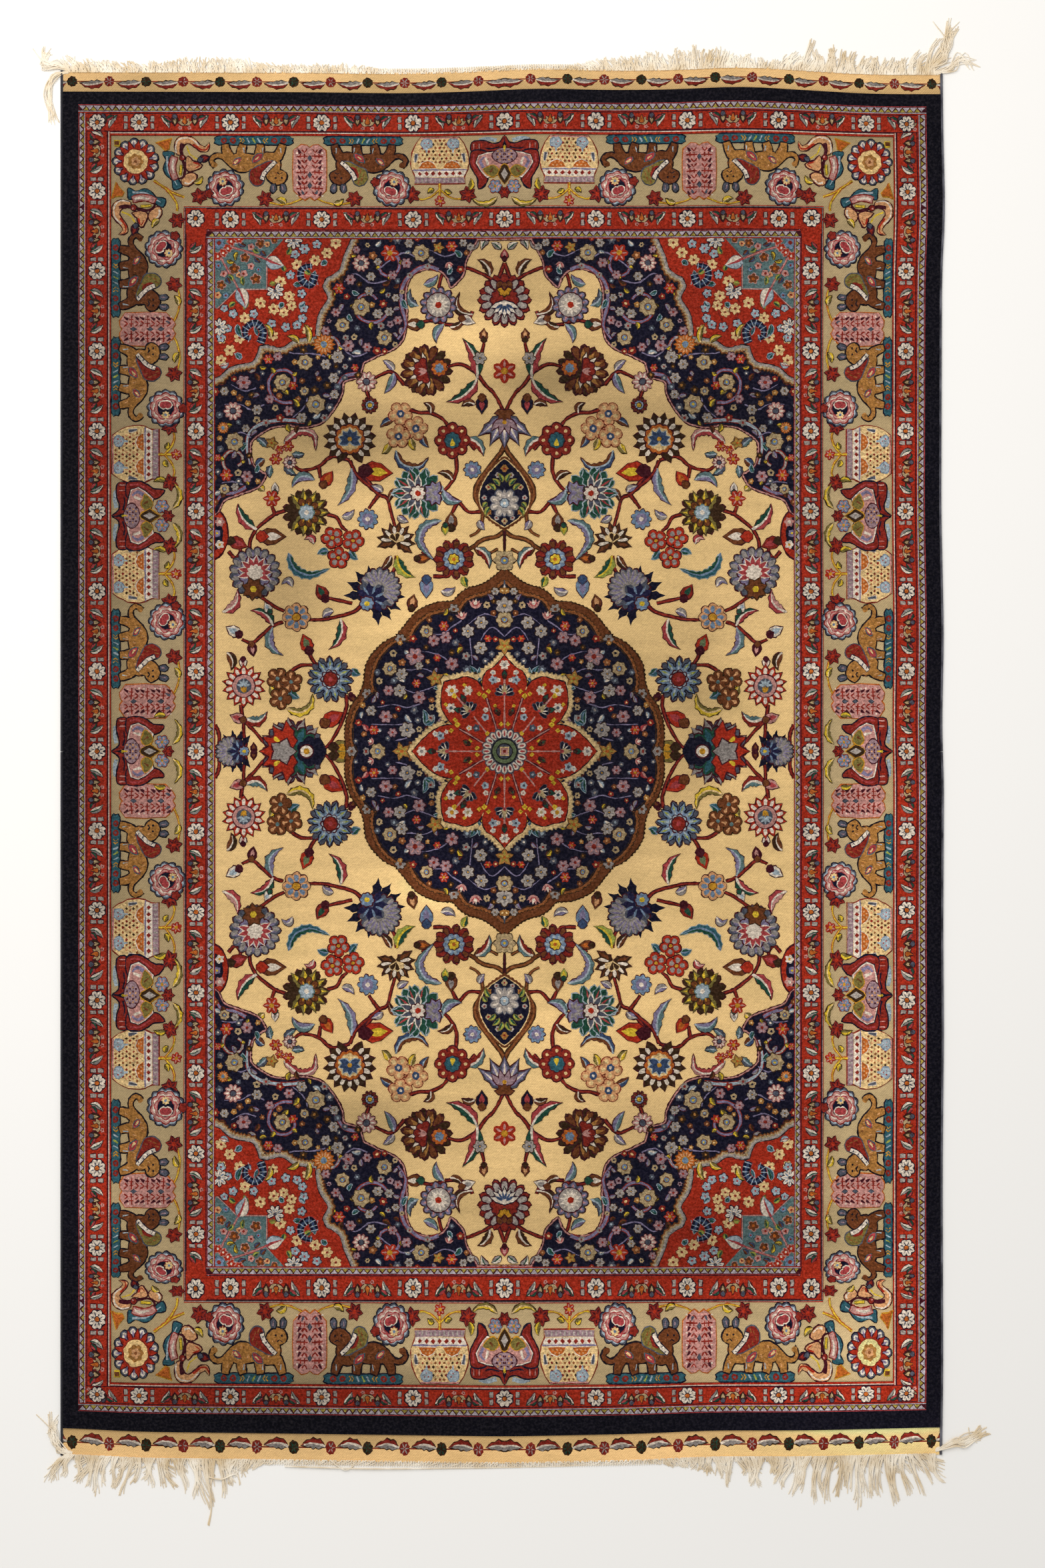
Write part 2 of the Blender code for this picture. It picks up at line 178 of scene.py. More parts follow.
def grow(points, distance, teeth=0.0):
    """The outline moved outwards, every second point by teeth more."""
    side = -1j if loopArea(points) > 0 else 1j
    made = []
    for index, point in enumerate(points):
        along = points[(index + 1) % len(points)] - points[index - 1]
        made.append(point + side * along / (abs(along) or 1) * (distance + teeth * (index % 2)))
    return made


def stroke(line, width, tail=0.3):
    """A band along a line, narrowing to tail times its width at the far end."""
    left, right = [], []
    last = len(line) - 1
    for index, point in enumerate(line):
        along = line[min(index + 1, last)] - line[max(index - 1, 0)]
        half = width / 2 * (1 - (1 - tail) * (index / last) ** 2)
        across = 1j * along / (abs(along) or 1) * half
        left.append(point + across)
        right.append(point - across)
    return left + right[::-1]


def scallop(count, depth, perLobe=4):
    """A round of radius 1 with lobes, first lobe centred on the x axis."""
    steps = count * perLobe
    return [
        cmath.rect(1 - depth * (1 - abs(math.cos(math.pi * k / perLobe))) ** 0.9, math.tau * k / steps)
        for k in range(steps)
    ]


def ring(radius, sides=8):
    return [cmath.rect(radius, math.tau * (k + 0.5) / sides) for k in range(sides)]


def petal(inner, outer, half, shape):
    """One petal along the x axis: pointed, round, drop (widest near the tip) or heart."""
    length = outer - inner
    rows = {
        "pointed": [(0, 0.35), (0.3, 0.95), (0.6, 0.85), (1, 0)],
        "round": [(0, 0.4), (0.35, 0.9), (0.75, 0.95), (0.95, 0.5), (1, 0)],
        "drop": [(0, 0.12), (0.45, 0.6), (0.78, 1), (0.96, 0.55), (1, 0)],
        "heart": [(0, 0.2), (0.4, 0.75), (0.8, 1), (1, 0.55), (0.9, 0)],
        "leafy": [(0, 0.3), (0.25, 1), (0.42, 0.62), (0.6, 0.78), (0.75, 0.36), (1, 0)],
    }[shape]
    upper = [complex(inner + length * t, half * w) for t, w in rows]
    lower = [point.conjugate() for point in reversed(upper[:-1])]
    return upper + lower


# dyes of a leaf: left half, rib, right half, outline
leafDyes = {
    "green": ("leaf", "white", "rose", "wine"), "teal": ("teal", "ice", "lilac", "wine"),
    "brown": ("brown", "white", "umber", "wine"), "lime": ("lime", "yellow", "leaf", "olive"),
    "blue": ("blue", "ice", "brown", "wine"), "wine": ("brick", "white", "teal", "wine"),
    "grey": ("grey", "white", "lilac", "wine"), "gold": ("yellow", "ivory", "olive", "umber"),
    "pink": ("rose", "white", "pink", "wine"), "sea": ("sea", "sky", "leaf", "ice"),
    "ice": ("ice", "rose", "white", "slate"), "dark": ("slate", "ice", "teal", "navy"),
    "wineLeaf": ("brick", "rose", "wine", "navy"), "pinkLeaf": ("pink", "white", "rose", "brick"),
    "pale": ("white", "leaf", "grey", "wine"), "kilimLeaf": ("grey", "white", "brick", "umber"),
}


class Drawing:
    """Layered shapes, the later ones over the earlier, that end as one woven surface."""

    def __init__(self, region, dye, flat=False, seed=1):
        self.loops, self.dyes, self.flats, self.loose = [], [], [], []
        self.rng = random.Random(seed)
        self.shape(region, dye, flat=flat, tremble=0)

    def shape(self, points, dye, rim=None, rimWidth=1.3, flat=False, tremble=None):
        if rim:
            self.shape(grow(points, rimWidth), rim, tremble=tremble)
        shake = rug["handTremble"] if tremble is None else tremble
        if shake:
            points = [p for a, b in zip(points, points[1:] + points[:1])
                      for p in ([a, (a + b) / 2] if abs(b - a) > rug["longStitch"] else [a])]
            points = [p + complex(self.rng.gauss(0, shake), self.rng.gauss(0, shake)) for p in points]
        if loopArea(points) < 0:
            points = points[::-1]
        self.loops.append(points)
        self.dyes.append(dye)
        self.flats.append(flat)

    def shapes(self, loops, dye, rim=None, rimWidth=1.3):
        if rim:
            for points in loops:
                self.shape(grow(points, rimWidth), rim)
        for points in loops:
            self.shape(points, dye)

    def stem(self, points, width=3.2, dye="wine", tail=0.5, core=None):
        line = flow(points, 5)
        self.shape(stroke(line, width, tail), dye)
        if core:
            self.shape(stroke(line, width * 0.45, tail), core)
        self.loose += line[1:-1]

    def leaf(self, x, y, tipX, tipY, width, kind="green", bend=0.15, teeth=0):
        base, axis = complex(x, y), complex(tipX - x, tipY - y)
        places = [k / 8 for k in range(9)]
        self.blade([base + axis * complex(t, bend * 4 * t * (1 - t)) for t in places], width, kind, teeth)

    def blade(self, line, width, kind="green", teeth=0):
        """A leaf along a line: two halves of different dye, with a light rib between them."""
        sides = leafDyes[kind]
        last = len(line) - 1
        left, right = [], []
        for index, point in enumerate(line):
            along = line[min(index + 1, last)] - line[max(index - 1, 0)]
            notch = 0.7 if teeth and index % 2 else 1
            half = width / 2 * math.sin(math.pi * (index / last) ** 0.75) * notch
            across = 1j * along / (abs(along) or 1) * half
            left.append(point + across)
            right.append(point - across)
        whole = left + right[::-1][1:-1]
        self.shape(grow(whole, 1.1), sides[3])
        self.shape(left + line[::-1][1:-1], sides[0])
        self.shape(right + line[::-1][1:-1], sides[2])
        if width > 7:
            self.shape(stroke(line[:-1], width * 0.2, 0.3), sides[1])

    def bud(self, x, y, size, turn, outer="red", inner="white", calyx="leaf", rim="wine"):
        """A closed flower: a drop with a lighter heart and a calyx at its foot."""
        centre, rotor = complex(x, y), cmath.rect(size, math.radians(turn))
        for inside, outside, half, dye, edge in (
            (-0.9, 1.0, 0.62, outer, rim), (-0.4, 0.7, 0.3, inner, None), (-1.1, -0.2, 0.42, calyx, rim),
        ):
            self.shape([centre + rotor * p for p in petal(inside, outside, half, "pointed")], dye, edge)

    def bloom(self, x, y, size, turn, rows):
        """A flower of rings and fans, from the outermost in; see the recipes."""
        centre, rotor = complex(x, y), cmath.rect(size, math.radians(turn))
        for row in rows:
            kind, count, inner, outer, half, fill, rim, spread, shift = (list(row) + [360, 0])[:9]
            if kind == "disc":
                loops = [[p * outer + shift for p in scallop(count, half)]]
            elif kind == "dot":
                loops = [[p + shift for p in ring(outer, count)]]
            else:
                first = -spread / 2 + (spread / count / 2 if spread < 360 else 0)
                turns = [math.radians(first + spread * k / count) for k in range(count)]
                one = petal(inner, outer, half, kind)
                loops = [[p * cmath.rect(1, a) + shift for p in one] for a in turns]
            self.shapes([[centre + rotor * p for p in loop] for loop in loops], fill, rim, 0.9 + 0.025 * size)

    def floret(self, x, y, size, dye="white", eye="gold", count=5, turn=0, rim=None, eyeSize=0.34):
        centre, rotor = complex(x, y), cmath.rect(size, math.radians(turn))
        perLobe = 4 if size > 6 else 3 if size > 4.4 else 2
        self.shape([centre + rotor * p for p in scallop(count, 0.34, perLobe)], dye, rim, 1.1)
        self.shape([centre + rotor * p for p in ring(eyeSize, 6)], eye)

    def sprig(self, base, turn, size, dye="white", calyx="leaf"):
        """A small bud of three petals on a calyx."""
        rotor = cmath.rect(size, math.radians(turn))
        for spread, length in ((-0.55, 0.9), (0.55, 0.9), (0, 1.05)):
            one = [p * cmath.rect(1, spread) for p in petal(0.15, length, 0.24, "pointed")]
            self.shape([base + rotor * p for p in one], dye)
        self.shape([base + rotor * p for p in petal(-0.25, 0.4, 0.24, "round")], calyx)


def blockRegion(lowX, highX, lowY, highY, step=28.0):
    """A rectangle's outline with a point every few centimetres, anticlockwise."""
    across, along = max(1, round((highX - lowX) / step)), max(1, round((highY - lowY) / step))
    ringPoints = [complex(lowX + (highX - lowX) * k / across, lowY) for k in range(across)]
    ringPoints += [complex(highX, lowY + (highY - lowY) * k / along) for k in range(along)]
    ringPoints += [complex(highX - (highX - lowX) * k / across, highY) for k in range(across)]
    ringPoints += [complex(lowX, highY - (highY - lowY) * k / along) for k in range(along)]
    return ringPoints


def gridPoints(low, high, step):
    xs = np.arange(low.real + step / 2, high.real, step)
    ys = np.arange(low.imag + step / 2, high.imag, step)
    return [complex(x, y) for x in xs for y in ys]


def spotArray(points):
    return np.array([(p.x, p.y) for p in points])


def settle(drawing, gridStep=26, flatHeight=rug["groundHeight"], pileHeight=rug["pileHeight"]):
    """Splits the layered shapes into one surface and keeps each face's top layer."""
    points, loops = [], []
    for loop in drawing.loops:
        loops.append(list(range(len(points), len(points) + len(loop))))
        points += loop
    made = delaunay_2d_cdt([Vector((p.real, p.imag)) for p in points], [], loops, 0, 0.0005, True)
    spots, faces, owners = spotArray(made[0]), np.array(made[2]), made[5]
    a, b, c = (spots[faces[:, k]] for k in range(3))
    areas = abs((b[:, 0] - a[:, 0]) * (c[:, 1] - a[:, 1]) - (b[:, 1] - a[:, 1]) * (c[:, 0] - a[:, 0])) / 2
    covered = np.zeros(len(loops))
    for owner, area in zip(owners, areas):
        for layer in owner:
            covered[layer] += area
    # a tangled outline can spill over the whole plane; such a shape is left out
    spilt = {k for k, loop in enumerate(drawing.loops) if covered[k] > 2 * loopArea(loop) + 4}
    tops = [max((layer for layer in owner if layer not in spilt), default=-1) if 0 in owner else -1
            for owner in owners]
    layers = np.array(tops)
    faces, layers = faces[layers >= 0], layers[layers >= 0]
    names = sorted(set(drawing.dyes))
    looks = np.array([names.index(dye) * 2 + flat for dye, flat in zip(drawing.dyes, drawing.flats)])[layers]
    low = complex(*spots[faces].reshape(-1, 2).min(axis=0))
    high = complex(*spots[faces].reshape(-1, 2).max(axis=0))
    # only the edges where the dye changes are kept, and the surface is triangulated again
    edges = np.sort(np.concatenate([faces[:, [0, 1]], faces[:, [1, 2]], faces[:, [2, 0]]]), axis=1)
    sides = np.tile(np.arange(len(faces)), 3)
    order = np.lexsort((edges[:, 1], edges[:, 0]))
    edges, sides = edges[order], sides[order]
    same = np.all(edges[1:] == edges[:-1], axis=1)
    first = np.append(same, False)
    second = np.insert(same, 0, False)
    changes = looks[sides[:-1][same]] != looks[sides[1:][same]]
    kept = np.concatenate([edges[:-1][same][changes], edges[~(first | second)]])
    used, kept = np.unique(kept, return_inverse=True)
    kept = kept.reshape(-1, 2)
    loose = [(p.real, p.imag) for p in drawing.loose + gridPoints(low, high, gridStep)
             if low.real < p.real < high.real and low.imag < p.imag < high.imag]
    again = [Vector(p) for p in np.concatenate([spots[used], np.array(loose)])]
    made = delaunay_2d_cdt(again, kept.tolist(), [], 0, 0.0002, False)
    finer, corners = spotArray(made[0]), np.array(made[2])
    finder = BVHTree.FromPolygons(np.column_stack([spots, np.zeros(len(spots))]).tolist(), faces.tolist())
    middles = finer[corners].mean(axis=1)
    found = np.array([finder.find_nearest((x, y, 0))[2] for x, y in middles])
    looks = looks[found]
    flats = looks % 2 == 1
    heights = np.full(len(finer), pileHeight)
    heights[corners[flats].ravel()] = flatHeight
    print("  ", len(faces), "faces thinned to", len(corners), "- tangled shapes:", len(spilt))
    return {"spots": finer, "corners": corners, "layers": looks // 2, "heights": heights, "flats": flats,
            "dyes": names}


# Places painted lighter or darker than the rest of their colour, partly dye lots and partly painted sheen, where the
# silk pile catches or loses the light:
# x, y, reach x, reach y, change
dyeLotAndSheenPatches = [
    (-240, 470, 190, 60, -0.36), (230, 500, 190, 60, -0.32), (-20, 730, 150, 70, -0.2), (-330, 250, 70, 120, -0.3),
    (60, 560, 90, 40, -0.3), (-60, 620, 90, 30, 0.2), (-130, 380, 120, 40, 0.12), (290, 60, 50, 160, -0.22),
    (-200, -560, 90, 60, -0.32), (200, -560, 90, 60, -0.2), (0, -700, 120, 40, -0.2), (-240, -330, 130, 70, 0.12),
    (60, -420, 200, 80, 0.12), (-60, 190, 150, 60, 0.25), (-60, -30, 110, 120, -0.25), (110, -120, 90, 90, -0.3),
    (-90, -200, 100, 40, 0.5), (-560, 600, 90, 400, -0.2), (550, 300, 80, 500, 0.2), (550, -500, 80, 500, 0.34),
    (500, -900, 260, 110, 0.45), (-250, -960, 330, 70, -0.4), (-620, -100, 60, 700, -0.2), (100, 870, 400, 50, 0.12), (0, -870, 420, 50, 0.24), (130, 70, 110, 130, -0.3),
    (300, -740, 160, 60, -0.3), (-60, -905, 200, 50, 0.25), (540, -1008, 150, 16, 1.0), (-620, -640, 60, 200, 0.3),
]


def paintedSheenAndDyeLots(x, y):
    """How light the silk's colour is painted at a place, 1 on average: a painted sheen that lightens down the rug, as
    the pile catches the light, with the patches of dye lots and painted sheen.
    """
    # painted sheen: lighter towards the right and down the rug
    value = 0.98 + 0.05 * x / rug["halfWidth"] - 0.09 * y / rug["pileEnd"]
    for px, py, rx, ry, change in dyeLotAndSheenPatches:
        value += change * np.exp(-(((x - px) / rx) ** 2 + ((y - py) / ry) ** 2))
    return np.maximum(value, 0.4)


def clothPiece(name, sheet, sides, materials, lower=bandsBottom):
    """One closed slab of the rug: the settled drawing on top, walls and a flat underside."""
    spots, corners = sheet["spots"], sheet["corners"]
    x, y = spots[:, 0] * sides[0], spots[:, 1] * sides[1]
    if sides[0] * sides[1] < 0:
        corners = corners[:, ::-1]
    x, y = pullWoven(x, y, lower)
    count = len(spots)
    edges = np.concatenate([corners[:, [0, 1]], corners[:, [1, 2]], corners[:, [2, 0]]])
    keys = edges[:, 0].astype(np.int64) * count + edges[:, 1]
    twins = edges[:, 1].astype(np.int64) * count + edges[:, 0]
    rimEdges = edges[~np.isin(keys, twins)]
    rimOwner = np.tile(np.arange(len(corners)), 3)[~np.isin(keys, twins)]
    after = {int(a): int(b) for a, b in rimEdges}
    owner = {int(a): int(f) for (a, b), f in zip(rimEdges, rimOwner)}
    loop = [int(rimEdges[0][0])]
    while after[loop[-1]] != loop[0]:
        loop.append(after[loop[-1]])
    if len(loop) != len(rimEdges):
        print("  note:", name, "has", len(rimEdges) - len(loop), "rim edges outside its main loop")
    size = len(loop)
    vertices = np.zeros((count + size, 3))
    vertices[:count] = np.stack([x, y, sheet["heights"]], axis=1)
    vertices[count:, :2] = vertices[loop][:, :2]
    vertices *= mm
    vertices += (axisX, axisY, 0)
    walls = [(loop[k], count + k, count + (k + 1) % size, loop[(k + 1) % size]) for k in range(size)]
    under = list(range(count + size - 1, count - 1, -1))
    mesh = bpy.data.meshes.new(name)
    mesh.from_pydata(vertices.tolist(), [], corners.tolist() + walls + [under])
    for material in materials:
        mesh.materials.append(material)
    flats = sheet["flats"].astype(int)
    wallOwners = np.array([owner[v] for v in loop])
    slots = np.concatenate([flats, flats[wallOwners], [1]])
    mesh.polygons.foreach_set("material_index", slots.astype(np.int32))
    palette = {dye: toLinear(value) for dye, value in dyes.items()}
    layerColours = np.array([palette[dye] for dye in sheet["dyes"]])
    faceColours = np.concatenate([
        layerColours[sheet["layers"]], layerColours[sheet["layers"]][wallOwners], [palette["back"]],
    ])
    totals = np.zeros(len(mesh.polygons), dtype=np.int32)
    mesh.polygons.foreach_get("loop_total", totals)
    cornerColours = np.repeat(faceColours, totals, axis=0)
    places = np.zeros(len(mesh.loops), dtype=np.int32)
    mesh.loops.foreach_get("vertex_index", places)
    # painted sheen and dye lots: each corner's colour lightened or darkened by its place, more strongly on the flat
    # ground
    light = paintedSheenAndDyeLots((vertices[places, 0] - axisX) / mm, (vertices[places, 1] - axisY) / mm)
    flatCorners = np.repeat(slots, totals) == 1
    light = np.where(flatCorners, light ** rug["groundSheenAndDyeStrength"], light)
    cornerColours = np.clip(cornerColours * light[:, None], 0, 1)
    attribute = mesh.attributes.new("weaveColour", "FLOAT_COLOR", "CORNER")
    attribute.data.foreach_set("color", np.column_stack([cornerColours, np.ones(len(places))]).ravel())
    planUvs(mesh, places, vertices, len(corners), walls, count, size)
    piece = bpy.data.objects.new(name, mesh)
    bpy.context.scene.collection.objects.link(piece)
    return piece


def planUvs(mesh, places, vertices, topFaces, walls, count, size):
    """The top fills most of the square; the wall and the underside have strips below it."""
    low = vertices.min(axis=0)
    span = vertices.max(axis=0) - low
    flat = (vertices[places, :2] - low[:2]) / span[:2]
    topLoops = topFaces * 3
    wallLoops = topLoops + len(walls) * 4
    uv = np.empty((len(places), 2))
    uv[:topLoops, 0] = 0.002 + 0.996 * flat[:topLoops, 0]
    uv[:topLoops, 1] = 0.07 + 0.928 * flat[:topLoops, 1]
    step = np.arange(size)
    left, right = 0.002 + 0.996 * step / size, 0.002 + 0.996 * (step + 1) / size
    wallU = np.stack([left, left, right, right], axis=1).ravel()
    wallV = np.tile([0.066, 0.056, 0.056, 0.066], size)
    uv[topLoops:wallLoops, 0] = wallU
    uv[topLoops:wallLoops, 1] = wallV
    uv[wallLoops:, 0] = 0.002 + 0.996 * flat[wallLoops:, 0]
    uv[wallLoops:, 1] = 0.002 + 0.05 * flat[wallLoops:, 1]
    layer = mesh.uv_layers.new(name="OFBake")
    layer.data.foreach_set("uv", uv.ravel())


# Materials

def addNode(tree, kind, settings=None, **links):
    """One node with its settings; links join its named inputs to sockets or values."""
    made = tree.nodes.new(kind)
    for key, value in (settings or {}).items():
        setattr(made, key, value)
    for key, value in links.items():
        socket = made.inputs[int(key[1:])] if key[0] == "i" and key[1:].isdigit() else made.inputs[key.replace("_", " ")]
        if isinstance(value, bpy.types.NodeSocket):
            tree.links.new(value, socket)
        else:
            socket.default_value = value
    return made


def newMaterial(name):
    material = bpy.data.materials.new(name)
    material.use_nodes = True
    tree = material.node_tree
    shader = tree.nodes["Principled BSDF"]
    place = addNode(tree, "ShaderNodeTexCoord").outputs["Object"]
    return material, tree, shader, place


def stretched(tree, place, scale):
    return addNode(tree, "ShaderNodeMapping", Vector=place, Scale=scale).outputs[0]


def rangeOf(tree, value, low, high, fromLow=0.3, fromHigh=0.7):
    made = addNode(tree, "ShaderNodeMapRange", Value=value, From_Min=fromLow, From_Max=fromHigh,
                   To_Min=low, To_Max=high)
    return made.outputs[0]


def times(tree, a, b):
    return addNode(tree, "ShaderNodeMath", {"operation": "MULTIPLY"}, i0=a, i1=b).outputs[0]


def silkPile():
    # cut silk pile: soft, each knot a slightly different tone, the brightest knots partly a painted glint, and a low
    # painted satin sheen, lighter and darker in large soft patches, that stands for the way the pile lies to the light
    material, tree, shader, place = newMaterial("cutSilkPile")
    dye = addNode(tree, "ShaderNodeAttribute", {"attribute_name": "weaveColour"}).outputs["Color"]
    knots = addNode(tree, "ShaderNodeTexVoronoi", Vector=stretched(tree, place, (760, 760, 760)), Scale=1.0)
    # each knot's own tone; its bright end also stands in for glints on the silk, a painted highlight
    knotToneAndGlint = addNode(tree, "ShaderNodeSeparateColor", Color=knots.outputs["Color"]).outputs[0]
    tufts = addNode(tree, "ShaderNodeTexNoise", Vector=place, Scale=260.0, Detail=3.0, Roughness=0.65)
    rows = addNode(tree, "ShaderNodeTexNoise", Vector=stretched(tree, place, (14, 420, 1)), Scale=1.0, Detail=2.0)
    # painted sheen: large soft patches where the pile colour is made lighter or darker
    paintedPileSheen = addNode(tree, "ShaderNodeTexNoise", Vector=stretched(tree, place, (5, 9, 1)), Scale=1.0, Detail=3.0)
    tone = times(tree, rangeOf(tree, knotToneAndGlint, 0.66, 1.22, 0, 1), rangeOf(tree, tufts.outputs[0], 0.5, 1.4))
    tone = times(tree, tone, rangeOf(tree, rows.outputs[0], 0.9, 1.1))
    tone = times(tree, tone, rangeOf(tree, paintedPileSheen.outputs[0], 0.86, 1.14))
    toned = addNode(tree, "ShaderNodeVectorMath", {"operation": "SCALE"}, i0=dye, Scale=tone)
    # a little pale grey mixed into the dye where the tuft noise is high
    paleGreyMix = addNode(tree, "ShaderNodeMix", {"data_type": "RGBA"})
    tree.links.new(rangeOf(tree, tufts.outputs[0], 0.0, 0.035, 0.45, 0.75), paleGreyMix.inputs[0])
    tree.links.new(toned.outputs[0], paleGreyMix.inputs[6])
    paleGreyMix.inputs[7].default_value = (*toLinear("#A89C98"), 1)
    tree.links.new(paleGreyMix.outputs[2], shader.inputs["Base Color"])
    shader.inputs["Roughness"].default_value = 0.7
    shader.inputs["Specular IOR Level"].default_value = 0.06
    height = times(tree, knots.outputs["Distance"], rangeOf(tree, tufts.outputs[0], 0.6, 1.4))
    bump = addNode(tree, "ShaderNodeBump", Strength=0.55, Distance=0.0009, Height=height)
    tree.links.new(bump.outputs[0], shader.inputs["Normal"])
    return material


def silkGround(name="flatWovenSilk", light="#E2C790", shadeDye="#A9935F"):
    # flat souf weave in undyed silk: fine twill lines, weft streaks and cloudy changes of tone
    material, tree, shader, place = newMaterial(name)
    dye = addNode(tree, "ShaderNodeAttribute", {"attribute_name": "weaveColour"}).outputs["Color"]
    turned = addNode(tree, "ShaderNodeMapping", Vector=place, Rotation=(0, 0, math.radians(42)), Scale=(1, 1, 1))
    twill = addNode(tree, "ShaderNodeTexWave", Vector=turned.outputs[0], Scale=118.0, Distortion=1.5, Detail=1.0)
    weft = addNode(tree, "ShaderNodeTexNoise", Vector=stretched(tree, place, (90, 700, 1)), Scale=1.0, Detail=2.0)
    streak = addNode(tree, "ShaderNodeTexNoise", Vector=stretched(tree, place, (4, 60, 1)), Scale=1.0, Detail=3.0)
    cloud = addNode(tree, "ShaderNodeTexNoise", Vector=stretched(tree, place, (7, 13, 1)), Scale=1.0, Detail=4.0)
    grain = addNode(tree, "ShaderNodeTexNoise", Vector=place, Scale=520.0, Detail=2.0)
    tone = times(tree, rangeOf(tree, twill.outputs[0], 0.93, 1.06, 0, 1), rangeOf(tree, weft.outputs[0], 0.9, 1.1))
    tone = times(tree, tone, rangeOf(tree, streak.outputs[0], 0.93, 1.07))
    tone = times(tree, tone, rangeOf(tree, grain.outputs[0], 0.86, 1.12))
    toned = addNode(tree, "ShaderNodeVectorMath", {"operation": "SCALE"}, i0=dye, Scale=tone)
    old = addNode(tree, "ShaderNodeMix", {"data_type": "RGBA"})
    tree.links.new(rangeOf(tree, cloud.outputs[0], 0.0, 0.5, 0.42, 0.66), old.inputs[0])
    tree.links.new(toned.outputs[0], old.inputs[6])
    dull = addNode(tree, "ShaderNodeVectorMath", {"operation": "MULTIPLY"}, i0=toned.outputs[0], i1=(0.74, 0.76, 0.72))
    tree.links.new(dull.outputs[0], old.inputs[7])
    tree.links.new(old.outputs[2], shader.inputs["Base Color"])
    shader.inputs["Roughness"].default_value = 0.65
    shader.inputs["Sheen Weight"].default_value = 0.03
    shader.inputs["Specular IOR Level"].default_value = 0.2
    bump = addNode(tree, "ShaderNodeBump", Strength=0.35, Distance=0.0005, Height=twill.outputs[0])
    tree.links.new(bump.outputs[0], shader.inputs["Normal"])
    return material


pile = silkPile()
ground = silkGround()
print("materials made")

quarters = {"topRight": (1, 1), "topLeft": (-1, 1), "bottomLeft": (-1, -1), "bottomRight": (1, -1)}


